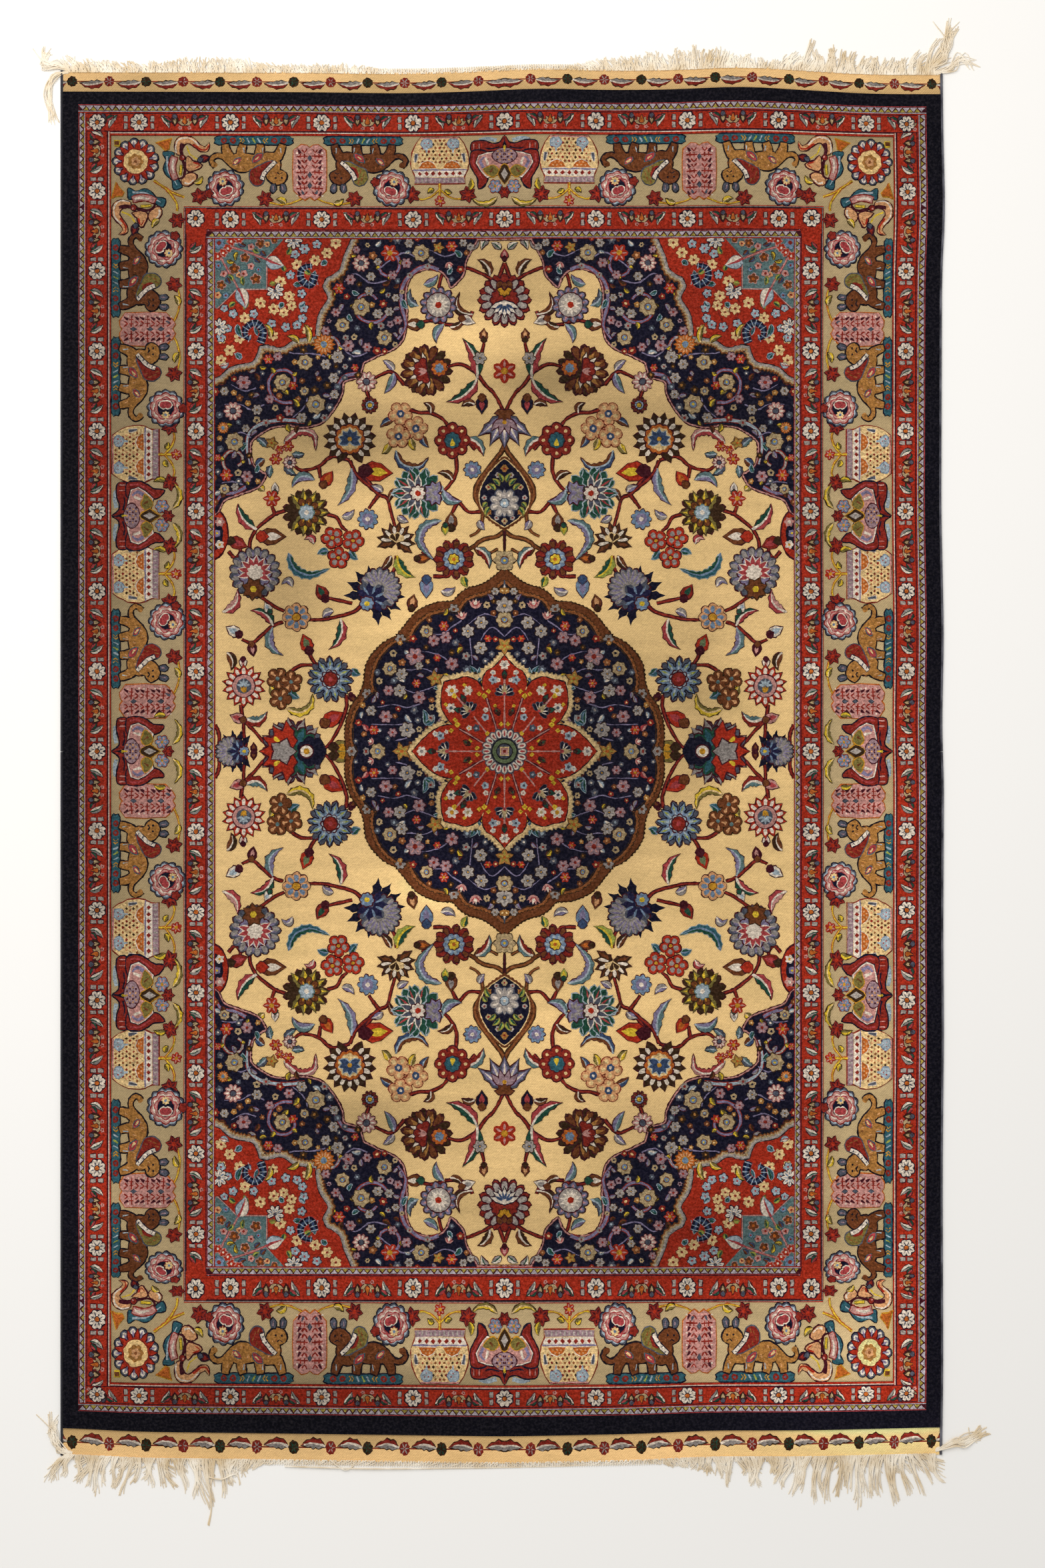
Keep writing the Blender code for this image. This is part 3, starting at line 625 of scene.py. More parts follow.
# Flowers from the outside in: kind, how many, inner radius, outer radius, half width (lobe depth
# of a disc), dye, outline, and for part of a circle its spread in degrees and shift of its centre.
# A flower with a direction points along +x before it is turned.
flowers = {
    "roundel": [
        ("disc", 12, 0, 1, 0.2, "slate", "wine"), ("round", 12, 0.56, 0.96, 0.12, "lilac", None),
        ("pointed", 12, 0.62, 0.9, 0.05, "pink", None), ("dot", 14, 0, 0.66, 0, "chalk", "wine"),
        ("pointed", 12, 0.1, 0.6, 0.09, "white", None), ("dot", 6, 0, 0.2, 0, "red", None),
    ],
    "ruffled": [
        ("disc", 11, 0, 1.02, 0.26, "brick", "wine"), ("heart", 9, 0.52, 0.92, 0.12, "brown", "wine"),
        ("disc", 10, 0, 0.56, 0.16, "sky", "wine"), ("round", 9, 0.2, 0.5, 0.07, "ice", None),
        ("disc", 7, 0, 0.27, 0.2, "yellow", "wine"), ("dot", 5, 0, 0.1, 0, "orange", None),
    ],
    "brickFlower": [
        ("round", 8, 0.3, 1, 0.3, "brick", "wine"), ("round", 8, 0.64, 0.84, 0.09, "ivory", None),
        ("disc", 8, 0, 0.46, 0.15, "sea", "wine"), ("drop", 1, -0.12, 0.32, 0.15, "yellow", None),
    ],
    "starDaisy": [
        ("pointed", 14, 0.35, 1, 0.17, "red", "wine"), ("round", 14, 0.5, 0.86, 0.09, "white", None),
        ("dot", 16, 0, 0.52, 0, "pink", "wine"), ("dot", 14, 0, 0.36, 0, "slate", None),
        ("pointed", 5, 0.02, 0.34, 0.07, "ice", None, 200, 0), ("pointed", 3, 0, 0.3, 0.08, "gold", None, 90, -0.3),
    ],
    "eightPetal": [
        ("round", 8, 0.2, 1, 0.3, "peach", "wine"), ("round", 8, 0.34, 0.82, 0.17, "sky", None),
        ("dot", 8, 0, 0.28, 0, "gold", "wine"),
    ],
    "blossom": [
        ("round", 5, 0.15, 1, 0.42, "peach", "brick"), ("round", 5, 0.42, 0.84, 0.18, "ivory", None),
        ("dot", 6, 0, 0.36, 0, "blue", None), ("dot", 5, 0, 0.14, 0, "white", None),
    ],
    "redBlossom": [
        ("round", 5, 0.15, 1, 0.42, "red", "wine"), ("round", 5, 0.3, 0.76, 0.24, "grey", None),
        ("dot", 6, 0, 0.18, 0, "gold", "wine"),
    ],
    "brownBlossom": [
        ("round", 5, 0.15, 1, 0.42, "brown", "umber"), ("drop", 5, 0.3, 0.84, 0.16, "peach", None),
        ("dot", 6, 0, 0.2, 0, "teal", None),
    ],
    "pom": [
        ("disc", 9, 0, 1, 0.25, "sky", "wine"), ("dot", 8, 0, 0.6, 0, "lilac", None),
        ("dot", 6, 0, 0.25, 0, "white", None),
    ],
    "serrated": [
        ("pointed", 14, 0.4, 1.08, 0.2, "umber", "wine", 330, 0), ("round", 13, 0.52, 0.9, 0.09, "white", None, 306, 0),
        ("disc", 12, 0, 0.62, 0.12, "orange", "wine"), ("disc", 10, 0, 0.5, 0.1, "ivory", None),
        ("pointed", 7, 0.05, 0.46, 0.12, "blue", "ice", 260, -0.05), ("dot", 6, 0, 0.1, 0, "gold", None),
    ],
    "pomegranate": [
        ("disc", 17, 0, 1.02, 0.14, "slate", "wine"), ("round", 13, 0.5, 0.98, 0.11, "grey", None, 290, 0),
        ("pointed", 12, 0.55, 0.92, 0.04, "lilac", None, 280, 0), ("disc", 12, 0, 0.66, 0.14, "lilac", "wine"),
        ("pointed", 9, 0.1, 0.68, 0.1, "rose", "white", 250, 0), ("disc", 10, 0, 0.34, 0.2, "white", "rose"),
        ("pointed", 7, 0, 0.46, 0.15, "brown", "umber", 360, -0.66), ("dot", 6, 0, 0.14, 0, "yellow", None, 360, -0.66),
    ],
    "ragged": [
        ("disc", 15, 0, 1.04, 0.26, "slate", "wine"), ("leafy", 11, 0.3, 1.0, 0.17, "sky", "navy"),
        ("pointed", 11, 0.45, 0.88, 0.05, "lime", None), ("pointed", 11, 0.36, 0.7, 0.05, "ice", None),
        ("disc", 9, 0, 0.42, 0.2, "ice", "wine"), ("dot", 10, 0, 0.31, 0, "brick", "wine"),
        ("dot", 6, 0, 0.12, 0, "rose", None),
    ],
    "brownPalmette": [
        ("disc", 15, 0, 1.06, 0.24, "umber", "wine"), ("heart", 9, 0.45, 1.0, 0.14, "brown", "wine", 270, 0),
        ("leafy", 7, 0.3, 0.9, 0.12, "ochre", None, 230, 0), ("pointed", 6, 0.2, 0.76, 0.09, "white", "umber", 210, 0),
        ("drop", 5, 0.05, 0.52, 0.14, "brick", "wine", 190, 0), ("pointed", 3, 0, 0.36, 0.07, "pink", None, 80, 0),
        ("disc", 9, 0, 0.34, 0.2, "orange", "wine", 360, -0.54), ("disc", 7, 0, 0.2, 0.2, "sky", None, 360, -0.54),
    ],
    "greenPalmette": [
        ("disc", 13, 0, 1.06, 0.26, "leaf", "ice"), ("leafy", 7, 0.3, 1.08, 0.2, "leaf", "ice", 250, 0),
        ("pointed", 7, 0.5, 0.96, 0.04, "rose", None, 240, 0), ("pointed", 6, 0.2, 0.72, 0.1, "slate", "white", 220, 0),
        ("pointed", 7, 0, 0.5, 0.16, "lilac", "wine", 260, -0.72), ("pointed", 7, 0.1, 0.4, 0.06, "grey", None, 250, -0.72),
        ("disc", 8, 0, 0.32, 0.25, "white", "wine"), ("dot", 6, 0, 0.13, 0, "red", None),
    ],
    "navyPalmette": [
        ("leafy", 11, 0.3, 1.24, 0.24, "navy", None, 290, -0.2), ("disc", 17, 0, 0.84, 0.14, "slate", "wine", 360, 0.14),
        ("round", 11, 0.2, 0.82, 0.1, "grey", None, 210, 0.1), ("pointed", 11, 0.3, 0.8, 0.04, "lilac", None, 200, 0.1),
        ("leafy", 5, 0.1, 0.7, 0.18, "midnight", None, 250, -0.4), ("pointed", 4, 0.2, 0.6, 0.05, "sky", None, 200, -0.4),
        ("disc", 8, 0, 0.28, 0.2, "sky", "wine", 360, -0.66), ("dot", 6, 0, 0.12, 0, "yellow", None, 360, -0.66),
    ],
    "acanthus": [
        ("disc", 13, 0, 1.04, 0.26, "umber", "wine"), ("leafy", 9, 0.2, 1.06, 0.2, "olive", "umber", 290, 0),
        ("pointed", 9, 0.4, 0.96, 0.06, "yellow", None, 280, 0), ("drop", 7, 0.1, 0.66, 0.14, "brown", "umber", 260, 0),
        ("pointed", 7, 0.2, 0.5, 0.05, "gold", None, 250, 0), ("disc", 8, 0, 0.34, 0.2, "ice", "teal", 360, 0.04),
        ("dot", 6, 0, 0.12, 0, "white", None, 360, 0.04),
    ],
    "whiteAcanthus": [
        ("leafy", 9, 0.1, 1.15, 0.26, "umber", "wine", 260, -0.1), ("leafy", 9, 0.3, 1.05, 0.13, "brown", None, 260, -0.1),
        ("round", 6, 0.3, 0.9, 0.1, "white", "umber", 220, -0.1), ("drop", 3, 0, 0.5, 0.14, "umber", "ivory", 140, -0.1),
    ],
    "lily": [
        ("leafy", 5, 0.1, 1.7, 0.32, "slate", "wine", 130, -0.85), ("leafy", 5, 0.2, 1.6, 0.2, "lilac", None, 130, -0.85),
        ("pointed", 5, 0.4, 1.4, 0.06, "white", None, 130, -0.85), ("pointed", 4, 0.2, 1.0, 0.14, "mauve", "wine", 110, -0.85),
        ("pointed", 5, 0, 0.5, 0.14, "brown", "wine", 200, -1.05), ("dot", 6, 0, 0.1, 0, "gold", None, 360, -0.5),
    ],
    "crowned": [
        ("disc", 16, 0, 1.06, 0.2, "brick", "wine"), ("round", 13, 0.5, 0.94, 0.12, "chalk", "wine", 320, 0),
        ("round", 12, 0.4, 0.66, 0.09, "grey", None), ("disc", 12, 0, 0.56, 0.15, "brick", "wine"),
        ("pointed", 7, -0.1, 0.6, 0.12, "white", "navy", 170, 0.12), ("pointed", 6, 0.1, 0.44, 0.05, "blue", None, 140, 0.12),
        ("disc", 8, 0, 0.26, 0.2, "gold", "umber", 360, -0.42), ("pointed", 3, 0.2, 0.5, 0.1, "brown", "wine", 110, -0.9),
    ],
    "shield": [
        ("disc", 17, 0, 1.02, 0.2, "slate", "wine"), ("leafy", 11, 0.4, 1.1, 0.16, "grey", "wine", 300, 0),
        ("disc", 13, 0, 0.82, 0.22, "leaf", "wine", 360, -0.06), ("leafy", 7, 0.2, 0.8, 0.14, "sea", None, 260, -0.06),
        ("round", 7, 0, 0.5, 0.2, "navy", None, 360, -0.6), ("leafy", 7, 0.1, 1.0, 0.26, "red", "wine", 190, 0.08),
        ("drop", 2, 0.36, 0.7, 0.07, "yellow", None, 160, 0.08), ("pointed", 5, 0, 0.44, 0.17, "grey", "wine", 360, 0.34),
        ("dot", 12, 0, 0.2, 0, "white", "wine", 360, -0.44), ("dot", 8, 0, 0.11, 0, "gold", None, 360, -0.44),
    ],
    "borderFlower": [
        ("pointed", 6, 0.1, 1.04, 0.3, "brick", "wine"), ("pointed", 6, 0.3, 0.86, 0.09, "wine", None),
        ("dot", 6, 0, 0.24, 0, "red", None),
    ],
    "blueFlower": [
        ("round", 6, 0.1, 1, 0.36, "sky", "brick"), ("round", 6, 0.3, 0.76, 0.14, "pink", None), ("dot", 6, 0, 0.24, 0, "gold", None),
    ],
    "borderRosette": [
        ("dot", 14, 0, 1.04, 0, "wine", None), ("round", 8, 0.2, 1, 0.27, "white", "navy"),
        ("pointed", 8, 0.3, 0.8, 0.07, "slate", None), ("dot", 8, 0, 0.26, 0, "orange", "navy"),
    ],
    "paleDaisy": [
        ("round", 9, 0.2, 1, 0.24, "chalk", "slate"), ("round", 9, 0.5, 0.85, 0.08, "white", None),
        ("dot", 8, 0, 0.3, 0, "ice", "slate"), ("dot", 5, 0, 0.12, 0, "white", None),
    ],
    "daisy": [
        ("disc", 10, 0, 1, 0.28, "pink", "wine"), ("pointed", 10, 0.35, 0.9, 0.1, "white", None),
        ("dot", 8, 0, 0.32, 0, "slate", "wine"),
    ],
    "goldStar": [
        ("pointed", 5, 0, 1, 0.3, "ochre", "umber"), ("pointed", 5, 0.1, 0.7, 0.12, "mustard", None),
        ("dot", 6, 0, 0.2, 0, "orange", None),
    ],
    "orangeDaisy": [
        ("pointed", 14, 0.3, 1, 0.2, "orange", "umber"), ("pointed", 14, 0.4, 0.8, 0.08, "peach", None),
        ("dot", 8, 0, 0.3, 0, "sky", "gold"),
    ],
    "fan": [
        ("pointed", 5, 0, 1, 0.2, "pink", None, 120, -0.3), ("pointed", 4, 0.2, 0.8, 0.08, "rose", None, 90, -0.3),
        ("drop", 1, -0.7, 0, 0.2, "white", None, 360, 0),
    ],
    "navyFan": [
        ("round", 7, 0.1, 1, 0.2, "navy", "slate", 200, 0), ("pointed", 6, 0.3, 0.95, 0.07, "white", None, 170, 0),
        ("drop", 1, -1.05, 0.1, 0.36, "tan", None, 360, 0), ("dot", 6, 0, 0.2, 0, "rose", None),
    ],
    "beigeBloom": [
        ("disc", 7, 0, 1, 0.3, "sand", "umber"), ("round", 7, 0.4, 0.86, 0.16, "tan", None),
        ("dot", 8, 0, 0.34, 0, "sky", "brown"), ("dot", 6, 0, 0.14, 0, "yellow", None),
    ],
    "whiteBloom": [
        ("disc", 6, 0, 1, 0.32, "chalk", "umber"), ("pointed", 6, 0.3, 0.85, 0.1, "grey", None),
        ("dot", 6, 0, 0.3, 0, "slate", None), ("dot", 5, 0, 0.14, 0, "gold", None),
    ],
    "pinkBloom": [
        ("disc", 6, 0, 1, 0.32, "mauve", "wine"), ("pointed", 6, 0.3, 0.85, 0.08, "pink", None),
        ("dot", 6, 0, 0.28, 0, "brick", None),
    ],
    "redBloom": [
        ("disc", 6, 0, 1, 0.32, "red", None), ("pointed", 6, 0.3, 0.85, 0.1, "pink", None),
        ("dot", 6, 0, 0.3, 0, "gold", None),
    ],
}

# What stands on the cream ground: recipe, x, y, size, turn
fieldFlowers = [
    ("crowned", 0, 676, 34, 270), ("roundel", 99, 669, 25, 10), ("brownPalmette", 117, 571, 33, -10),
    ("redBloom", 0, 570, 17, 90), ("lily", 0, 478, 27, 270), ("blossom", 156, 506, 16, 20),
    ("blossom", 133, 484, 16, 70), ("blossom", 159, 472, 16, 130), ("brickFlower", 78, 466, 24, 90),
    ("pom", 48, 422, 12, 0), ("greenPalmette", 130, 387, 33, 0), ("whiteAcanthus", 162, 317, 23, 100),
    ("ruffled", 76, 288, 27, 0), ("navyPalmette", 190, 240, 34, 131), ("serrated", 232, 468, 33, 90),
    ("acanthus", 298, 358, 30, 180), ("redBlossom", 258, 320, 15, 30), ("redBlossom", 227, 316, 15, 80),
    ("redBlossom", 249, 290, 15, 130), ("pomegranate", 374, 268, 34, 96), ("eightPetal", 312, 201, 19, 0),
    ("starDaisy", 391, 98, 29, 90), ("brownBlossom", 340, 109, 15, 10), ("brownBlossom", 320, 104, 15, 50),
    ("brownBlossom", 336, 79, 15, 80), ("ragged", 261, 108, 30, 40), ("shield", 317, 0, 42, 0),
    ("navyPalmette", 408, 0, 24, 0), ("redBloom", 324, 457, 8, 0), ("redBloom", 337, 452, 7, 0),
    ("redBloom", 343, 438, 9, 0), ("goldStar", 349, 462, 9, 0), ("daisy", 322, 433, 9, 0),
    ("daisy", 207, 554, 14, 0), ("ruffled", 202, 519, 11, 0), ("whiteBloom", 37, 589, 9, 0),
    ("pom", 205, 348, 14, 0), ("redBloom", 349, 379, 12, 0),
    ("beigeBloom", 0, 286, 15, 0), ("paleDaisy", 0, 372, 20, 0),
]

# x, y, size, turn, outer dye, inner dye, calyx dye
fieldBuds = [
    (136, 640, 13, 0, "brown", "white", "leaf"), (56, 646, 11, 200, "white", "grey", "brown"),
    (31, 624, 9, 90, "brown", "peach", "umber"), (34, 520, 13, 270, "navy", "rose", "brown"),
    (80, 345, 13, 90, "brown", "grey", "umber"), (89, 333, 8, 270, "lime", "yellow", "leaf"),
    (192, 419, 22, 185, "red", "yellow", "wine"), (123, 289, 10, 180, "brown", "orange", "umber"),
    (117, 246, 15, 270, "sky", "lilac", "blue"), (138, 223, 11, 100, "brown", "peach", "umber"),
    (266, 408, 13, 125, "red", "orange", "brown"), (344, 394, 8, 90, "white", "grey", "leaf"),
    (349, 322, 19, 180, "brown", "white", "red"), (274, 238, 13, 60, "brick", "leaf", "wine"),
    (355, 215, 8, 60, "white", "ice", "leaf"), (406, 180, 12, 30, "white", "ice", "wine"),
    (378, 153, 10, 260, "wine", "pink", "brown"), (392, 132, 8, 270, "white", "pink", "wine"),
    (297, 161, 14, 70, "red", "sage", "wine"), (228, 80, 7, 240, "wine", "brown", "wine"),
    (258, 49, 17, 150, "red", "rose", "brown"), (244, 6, 16, 180, "olive", "gold", "umber"),
    (400, 312, 14, 200, "brick", "rose", "umber"), (400, 50, 11, 20, "pink", "rose", "brown"),
    (0, 744, 8, 90, "rose", "pink", "wine"), (376, 5, 7, 90, "wine", "brown", "wine"),
]

# foot x, foot y, tip x, tip y, width, kind, bend, teeth
fieldLeaves = [
    (24, 770, 34, 752, 8, "pale", 0.1, 0), (40, 768, 54, 750, 8, "pale", -0.1, 0), (6, 752, 20, 762, 8, "pale", 0.1, 0),
    (22, 713, 41, 737, 12, "brown", 0.2, 1), (121, 700, 100, 714, 9, "teal", 0.15, 0),
    (129, 668, 141, 693, 11, "dark", -0.3, 1), (91, 640, 102, 612, 9, "teal", 0.2, 0),
    (48, 655, 67, 688, 9, "brown", -0.4, 0), (82, 636, 63, 648, 8, "brown", 0.2, 0),
    (41, 559, 63, 619, 16, "green", 0.12, 1), (41, 559, 87, 524, 16, "green", -0.15, 1),
    (166, 571, 182, 586, 8, "grey", 0.1, 0), (166, 567, 180, 537, 9, "teal", -0.1, 0),
    (45, 520, 64, 518, 8, "brown", 0.2, 0), (166, 498, 186, 486, 8, "blue", 0.1, 0),
    (124, 474, 114, 456, 8, "blue", 0.1, 0), (140, 468, 134, 452, 8, "gold", 0.1, 0),
    (172, 462, 184, 446, 8, "gold", -0.1, 0), (111, 507, 121, 522, 8, "brown", 0.3, 0),
    (56, 469, 32, 442, 13, "wine", -0.2, 1), (78, 407, 100, 417, 8, "brown", 0.2, 0),
    (92, 392, 64, 375, 11, "teal", 0.25, 0), (150, 380, 174, 372, 9, "brown", 0.5, 0),
    (183, 389, 200, 398, 8, "grey", 0.1, 0), (160, 353, 144, 344, 8, "grey", 0.1, 0),
    (244, 352, 226, 362, 9, "grey", 0.2, 0), (161, 293, 134, 261, 14, "lime", 0.2, 1),
    (170, 293, 186, 272, 8, "brown", -0.1, 0), (61, 262, 56, 246, 8, "lime", 0.1, 0),
    (38, 346, 30, 332, 8, "grey", 0.1, 0), (43, 305, 23, 274, 12, "wine", -0.2, 1),
    (95, 240, 74, 246, 9, "grey", 0.2, 0), (230, 424, 250, 369, 13, "teal", -0.16, 1),
    (285, 407, 319, 396, 11, "teal", 0.3, 0), (361, 391, 374, 398, 7, "gold", 0.1, 0),
    (372, 333, 400, 372, 14, "green", -0.15, 1), (361, 438, 372, 424, 9, "blue", 0.1, 0),
    (356, 456, 374, 470, 9, "dark", 0.1, 1), (330, 430, 312, 414, 9, "dark", 0.1, 1),
    (318, 446, 300, 446, 9, "dark", 0.1, 1), (350, 428, 352, 410, 9, "dark", 0.1, 1),
    (264, 300, 280, 296, 8, "sea", 0.1, 0), (232, 300, 220, 288, 8, "sea", 0.1, 0),
    (423, 209, 401, 243, 13, "pink", 0.25, 1), (347, 188, 381, 211, 12, "green", 0.2, 1),
    (347, 186, 332, 144, 12, "teal", 0.3, 1), (246, 199, 263, 153, 13, "green", -0.2, 1),
    (257, 210, 272, 200, 9, "grey", 0.2, 0), (416, 148, 410, 122, 10, "brown", -0.2, 0),
    (389, 50, 356, 60, 14, "wine", 0.3, 1), (347, 82, 352, 98, 8, "gold", 0.1, 0),
    (322, 90, 308, 80, 9, "sea", 0.1, 0), (228, 124, 216, 116, 9, "sea", 0.2, 0),
    (318, 247, 334, 250, 8, "grey", 0.5, 0), (286, 311, 300, 318, 8, "pink", 0.4, 0),
]

# curved leaves: width, kind, and the points along them
fieldSickles = [
    (11, "blue", (163, 451), (154, 431), (129, 426), (114, 441)),
    (12, "teal", (95, 346), (119, 338), (128, 317), (116, 297), (105, 286)),
    (11, "pink", (331, 462), (308, 480), (286, 474), (283, 451)),
    (12, "sea", (324, 297), (315, 274), (292, 264), (263, 274)),
    (11, "gold", (326, 64), (307, 58), (291, 68), (288, 86)),
]

# wine stems as their points
fieldStems = [
    [(0, 732), (12, 707), (34, 716), (59, 725), (84, 722), (94, 713), (99, 694)], [(12, 707), (4, 700)],
    [(91, 642), (112, 646), (130, 641)], [(48, 660), (52, 650), (66, 640), (90, 640)],
    [(41, 567), (28, 548), (17, 538), (6, 519), (0, 505)], [(41, 567), (64, 580), (85, 577)],
    [(37, 582), (31, 612)], [(141, 512), (129, 508), (111, 507), (95, 500), (85, 489)],
    [(73, 444), (72, 420), (81, 401), (95, 387)], [(95, 387), (70, 375), (54, 359), (34, 359), (12, 350)],
    [(70, 375), (78, 358)], [(213, 417), (204, 404), (188, 385), (176, 379), (170, 357), (164, 337)],
    [(188, 385), (204, 364)], [(162, 293), (164, 276), (173, 261)], [(150, 549), (170, 569), (194, 560)],
    [(228, 222), (257, 228), (272, 232)], [(215, 218), (226, 209), (246, 203), (269, 198), (293, 197)],
    [(232, 436), (258, 442), (279, 427), (303, 421), (318, 430)], [(232, 436), (222, 415), (204, 398), (188, 385)],
    [(279, 427), (276, 410)], [(329, 361), (345, 355), (365, 340), (375, 329), (382, 313), (382, 297)],
    [(266, 355), (252, 351), (245, 338), (236, 330)], [(345, 357), (349, 368)], [(366, 232), (345, 217), (330, 210)],
    [(332, 194), (347, 188), (364, 174), (378, 163), (394, 168)], [(378, 163), (378, 158)],
    [(391, 130), (391, 120)], [(293, 149), (284, 132), (262, 124)], [(395, 70), (391, 48), (374, 29), (351, 2)],
    [(322, 119), (305, 129), (286, 129)], [(238, 85), (237, 67), (246, 39), (262, 12), (276, 0)],
    [(399, 0), (388, 8), (391, 26), (391, 48)], [(351, 2), (362, -8)], [(414, 300), (404, 290), (396, 300), (400, 318)],
    [(107, 262), (92, 262), (84, 262)], [(123, 296), (118, 306)], [(207, 540), (203, 530)], [(56, 466), (44, 452)],
    [(297, 330), (292, 318)], [(434, 40), (428, 24), (430, 0)],
]

# Flowers on the navy of the medallion and of the spandrel
navyFlowers = [
    ("whiteBloom", 0, 218, 14, 90), ("beigeBloom", 0, 197, 13, 0), ("goldStar", 0, 158, 14, 90),
    ("fan", 44, 219, 14, 100), ("whiteBloom", 35, 193, 10, 0), ("whiteBloom", 55, 180, 10, 30),
    ("redBloom", 25, 169, 6, 0), ("whiteBloom", 36, 155, 10, 10), ("fan", 64, 202, 12, 80),
    ("redBloom", 91, 188, 8, 0), ("beigeBloom", 117, 180, 10, 0), ("pinkBloom", 88, 171, 9, 0),
    ("pinkBloom", 106, 166, 9, 40), ("pinkBloom", 134, 142, 14, 0), ("pinkBloom", 79, 131, 10, 20),
    ("redBloom", 101, 140, 6, 0), ("goldStar", 104, 109, 13, 45), ("redBloom", 132, 102, 7, 0),
    ("beigeBloom", 172, 124, 11, 0), ("whiteBloom", 154, 116, 9, 0), ("pinkBloom", 128, 81, 10, 10),
    ("whiteBloom", 157, 91, 10, 20), ("pinkBloom", 174, 91, 8, 0), ("whiteBloom", 146, 32, 12, 10),
    ("pinkBloom", 178, 52, 10, 0), ("redBloom", 196, 32, 8, 0), ("whiteBloom", 200, 61, 8, 0),
    ("fan", 199, 14, 9, 20), ("beigeBloom", 190, 0, 12, 0), ("goldStar", 154, 0, 14, 180),
    ("pinkBloom", 168, 28, 7, 0), ("whiteBloom", 14, 240, 6, 0), ("whiteBloom", 128, 128, 6, 0),
    ("redBloom", 172, 747, 14, 0), ("beigeBloom", 125, 747, 13, 0), ("whiteBloom", 143, 762, 7, 0),
    ("goldStar", 99, 755, 9, 0), ("redBloom", 79, 757, 9, 0), ("whiteBloom", 62, 762, 6, 0),
    ("whiteBloom", 51, 756, 6, 30), ("pinkBloom", 147, 732, 8, 0), ("fan", 84, 730, 10, 250),
    ("pinkBloom", 168, 714, 7, 0), ("daisy", 215, 732, 13, 0), ("pinkBloom", 231, 707, 8, 0),
    ("whiteBloom", 200, 712, 7, 0), ("redBloom", 248, 694, 9, 0), ("beigeBloom", 215, 666, 14, 0),
    ("whiteBloom", 190, 656, 8, 0), ("whiteBloom", 203, 690, 7, 0), ("whiteBloom", 173, 659, 7, 0),
    ("pinkBloom", 160, 646, 7, 0), ("beigeBloom", 180, 620, 12, 0), ("beigeBloom", 243, 639, 11, 0),
    ("pinkBloom", 253, 658, 7, 0), ("orangeDaisy", 271, 610, 17, 0), ("whiteBloom", 250, 591, 10, 0),
    ("pinkBloom", 234, 608, 9, 0), ("whiteBloom", 268, 580, 8, 0), ("beigeBloom", 299, 583, 12, 0),
    ("redBloom", 354, 588, 8, 0), ("pinkBloom", 391, 553, 11, 0), ("beigeBloom", 333, 553, 13, 0),
    ("redBloom", 317, 548, 7, 0), ("beigeBloom", 283, 520, 15, 0), ("pinkBloom", 323, 510, 8, 0),
    ("whiteBloom", 304, 500, 8, 0), ("daisy", 407, 510, 14, 0), ("whiteBloom", 371, 512, 8, 0),
    ("beigeBloom", 405, 464, 14, 0), ("orangeDaisy", 422, 485, 9, 0), ("whiteBloom", 388, 484, 6, 0),
    ("redBloom", 417, 414, 10, 0), ("pinkBloom", 386, 412, 9, 0), ("beigeBloom", 420, 393, 8, 0),
    ("whiteBloom", 404, 396, 6, 0), ("redBloom", 224, 575, 6, 0), ("whiteBloom", 256, 560, 8, 0),
    ("beigeBloom", 300, 540, 7, 0), ("pinkBloom", 352, 528, 7, 0), ("whiteBloom", 420, 540, 7, 0),
    ("pinkBloom", 340, 592, 7, 0), ("whiteBloom", 255, 535, 7, 0), ("pinkBloom", 206, 606, 7, 0),
    ("whiteBloom", 190, 734, 6, 0), ("pinkBloom", 222, 752, 6, 0), ("whiteBloom", 110, 737, 5, 0),
    ("pinkBloom", 268, 630, 7, 0), ("whiteBloom", 163, 680, 6, 0), ("redBloom", 430, 440, 6, 0),
]

navyVines = [
    [(0, 172), (18, 186), (30, 176), (36, 166)], [(10, 200), (30, 206), (48, 196), (56, 188)],
    [(52, 170), (50, 150), (48, 130)], [(64, 196), (80, 186), (92, 176), (110, 176)],
    [(76, 122), (90, 140), (110, 148), (128, 150)], [(106, 118), (122, 124), (140, 122), (158, 124)],
    [(104, 98), (120, 92), (136, 88), (160, 98)], [(124, 72), (146, 66), (166, 70), (190, 66)],
    [(140, 44), (160, 40), (180, 40), (200, 40)], [(146, 20), (164, 16), (184, 18)],
    [(70, 748), (90, 742), (112, 752), (130, 760)], [(132, 740), (150, 748), (172, 736), (190, 722)],
    [(176, 706), (200, 702), (224, 716), (240, 704)], [(206, 598), (226, 592), (244, 606), (256, 622)],
    [(268, 592), (288, 596), (310, 596), (330, 600)], [(296, 530), (300, 516), (318, 500)],
    [(360, 520), (380, 512), (396, 520), (420, 520)], [(380, 470), (396, 478), (418, 468)],
    [(392, 400), (408, 404), (424, 402)], [(372, 545), (390, 540), (410, 550)],
]

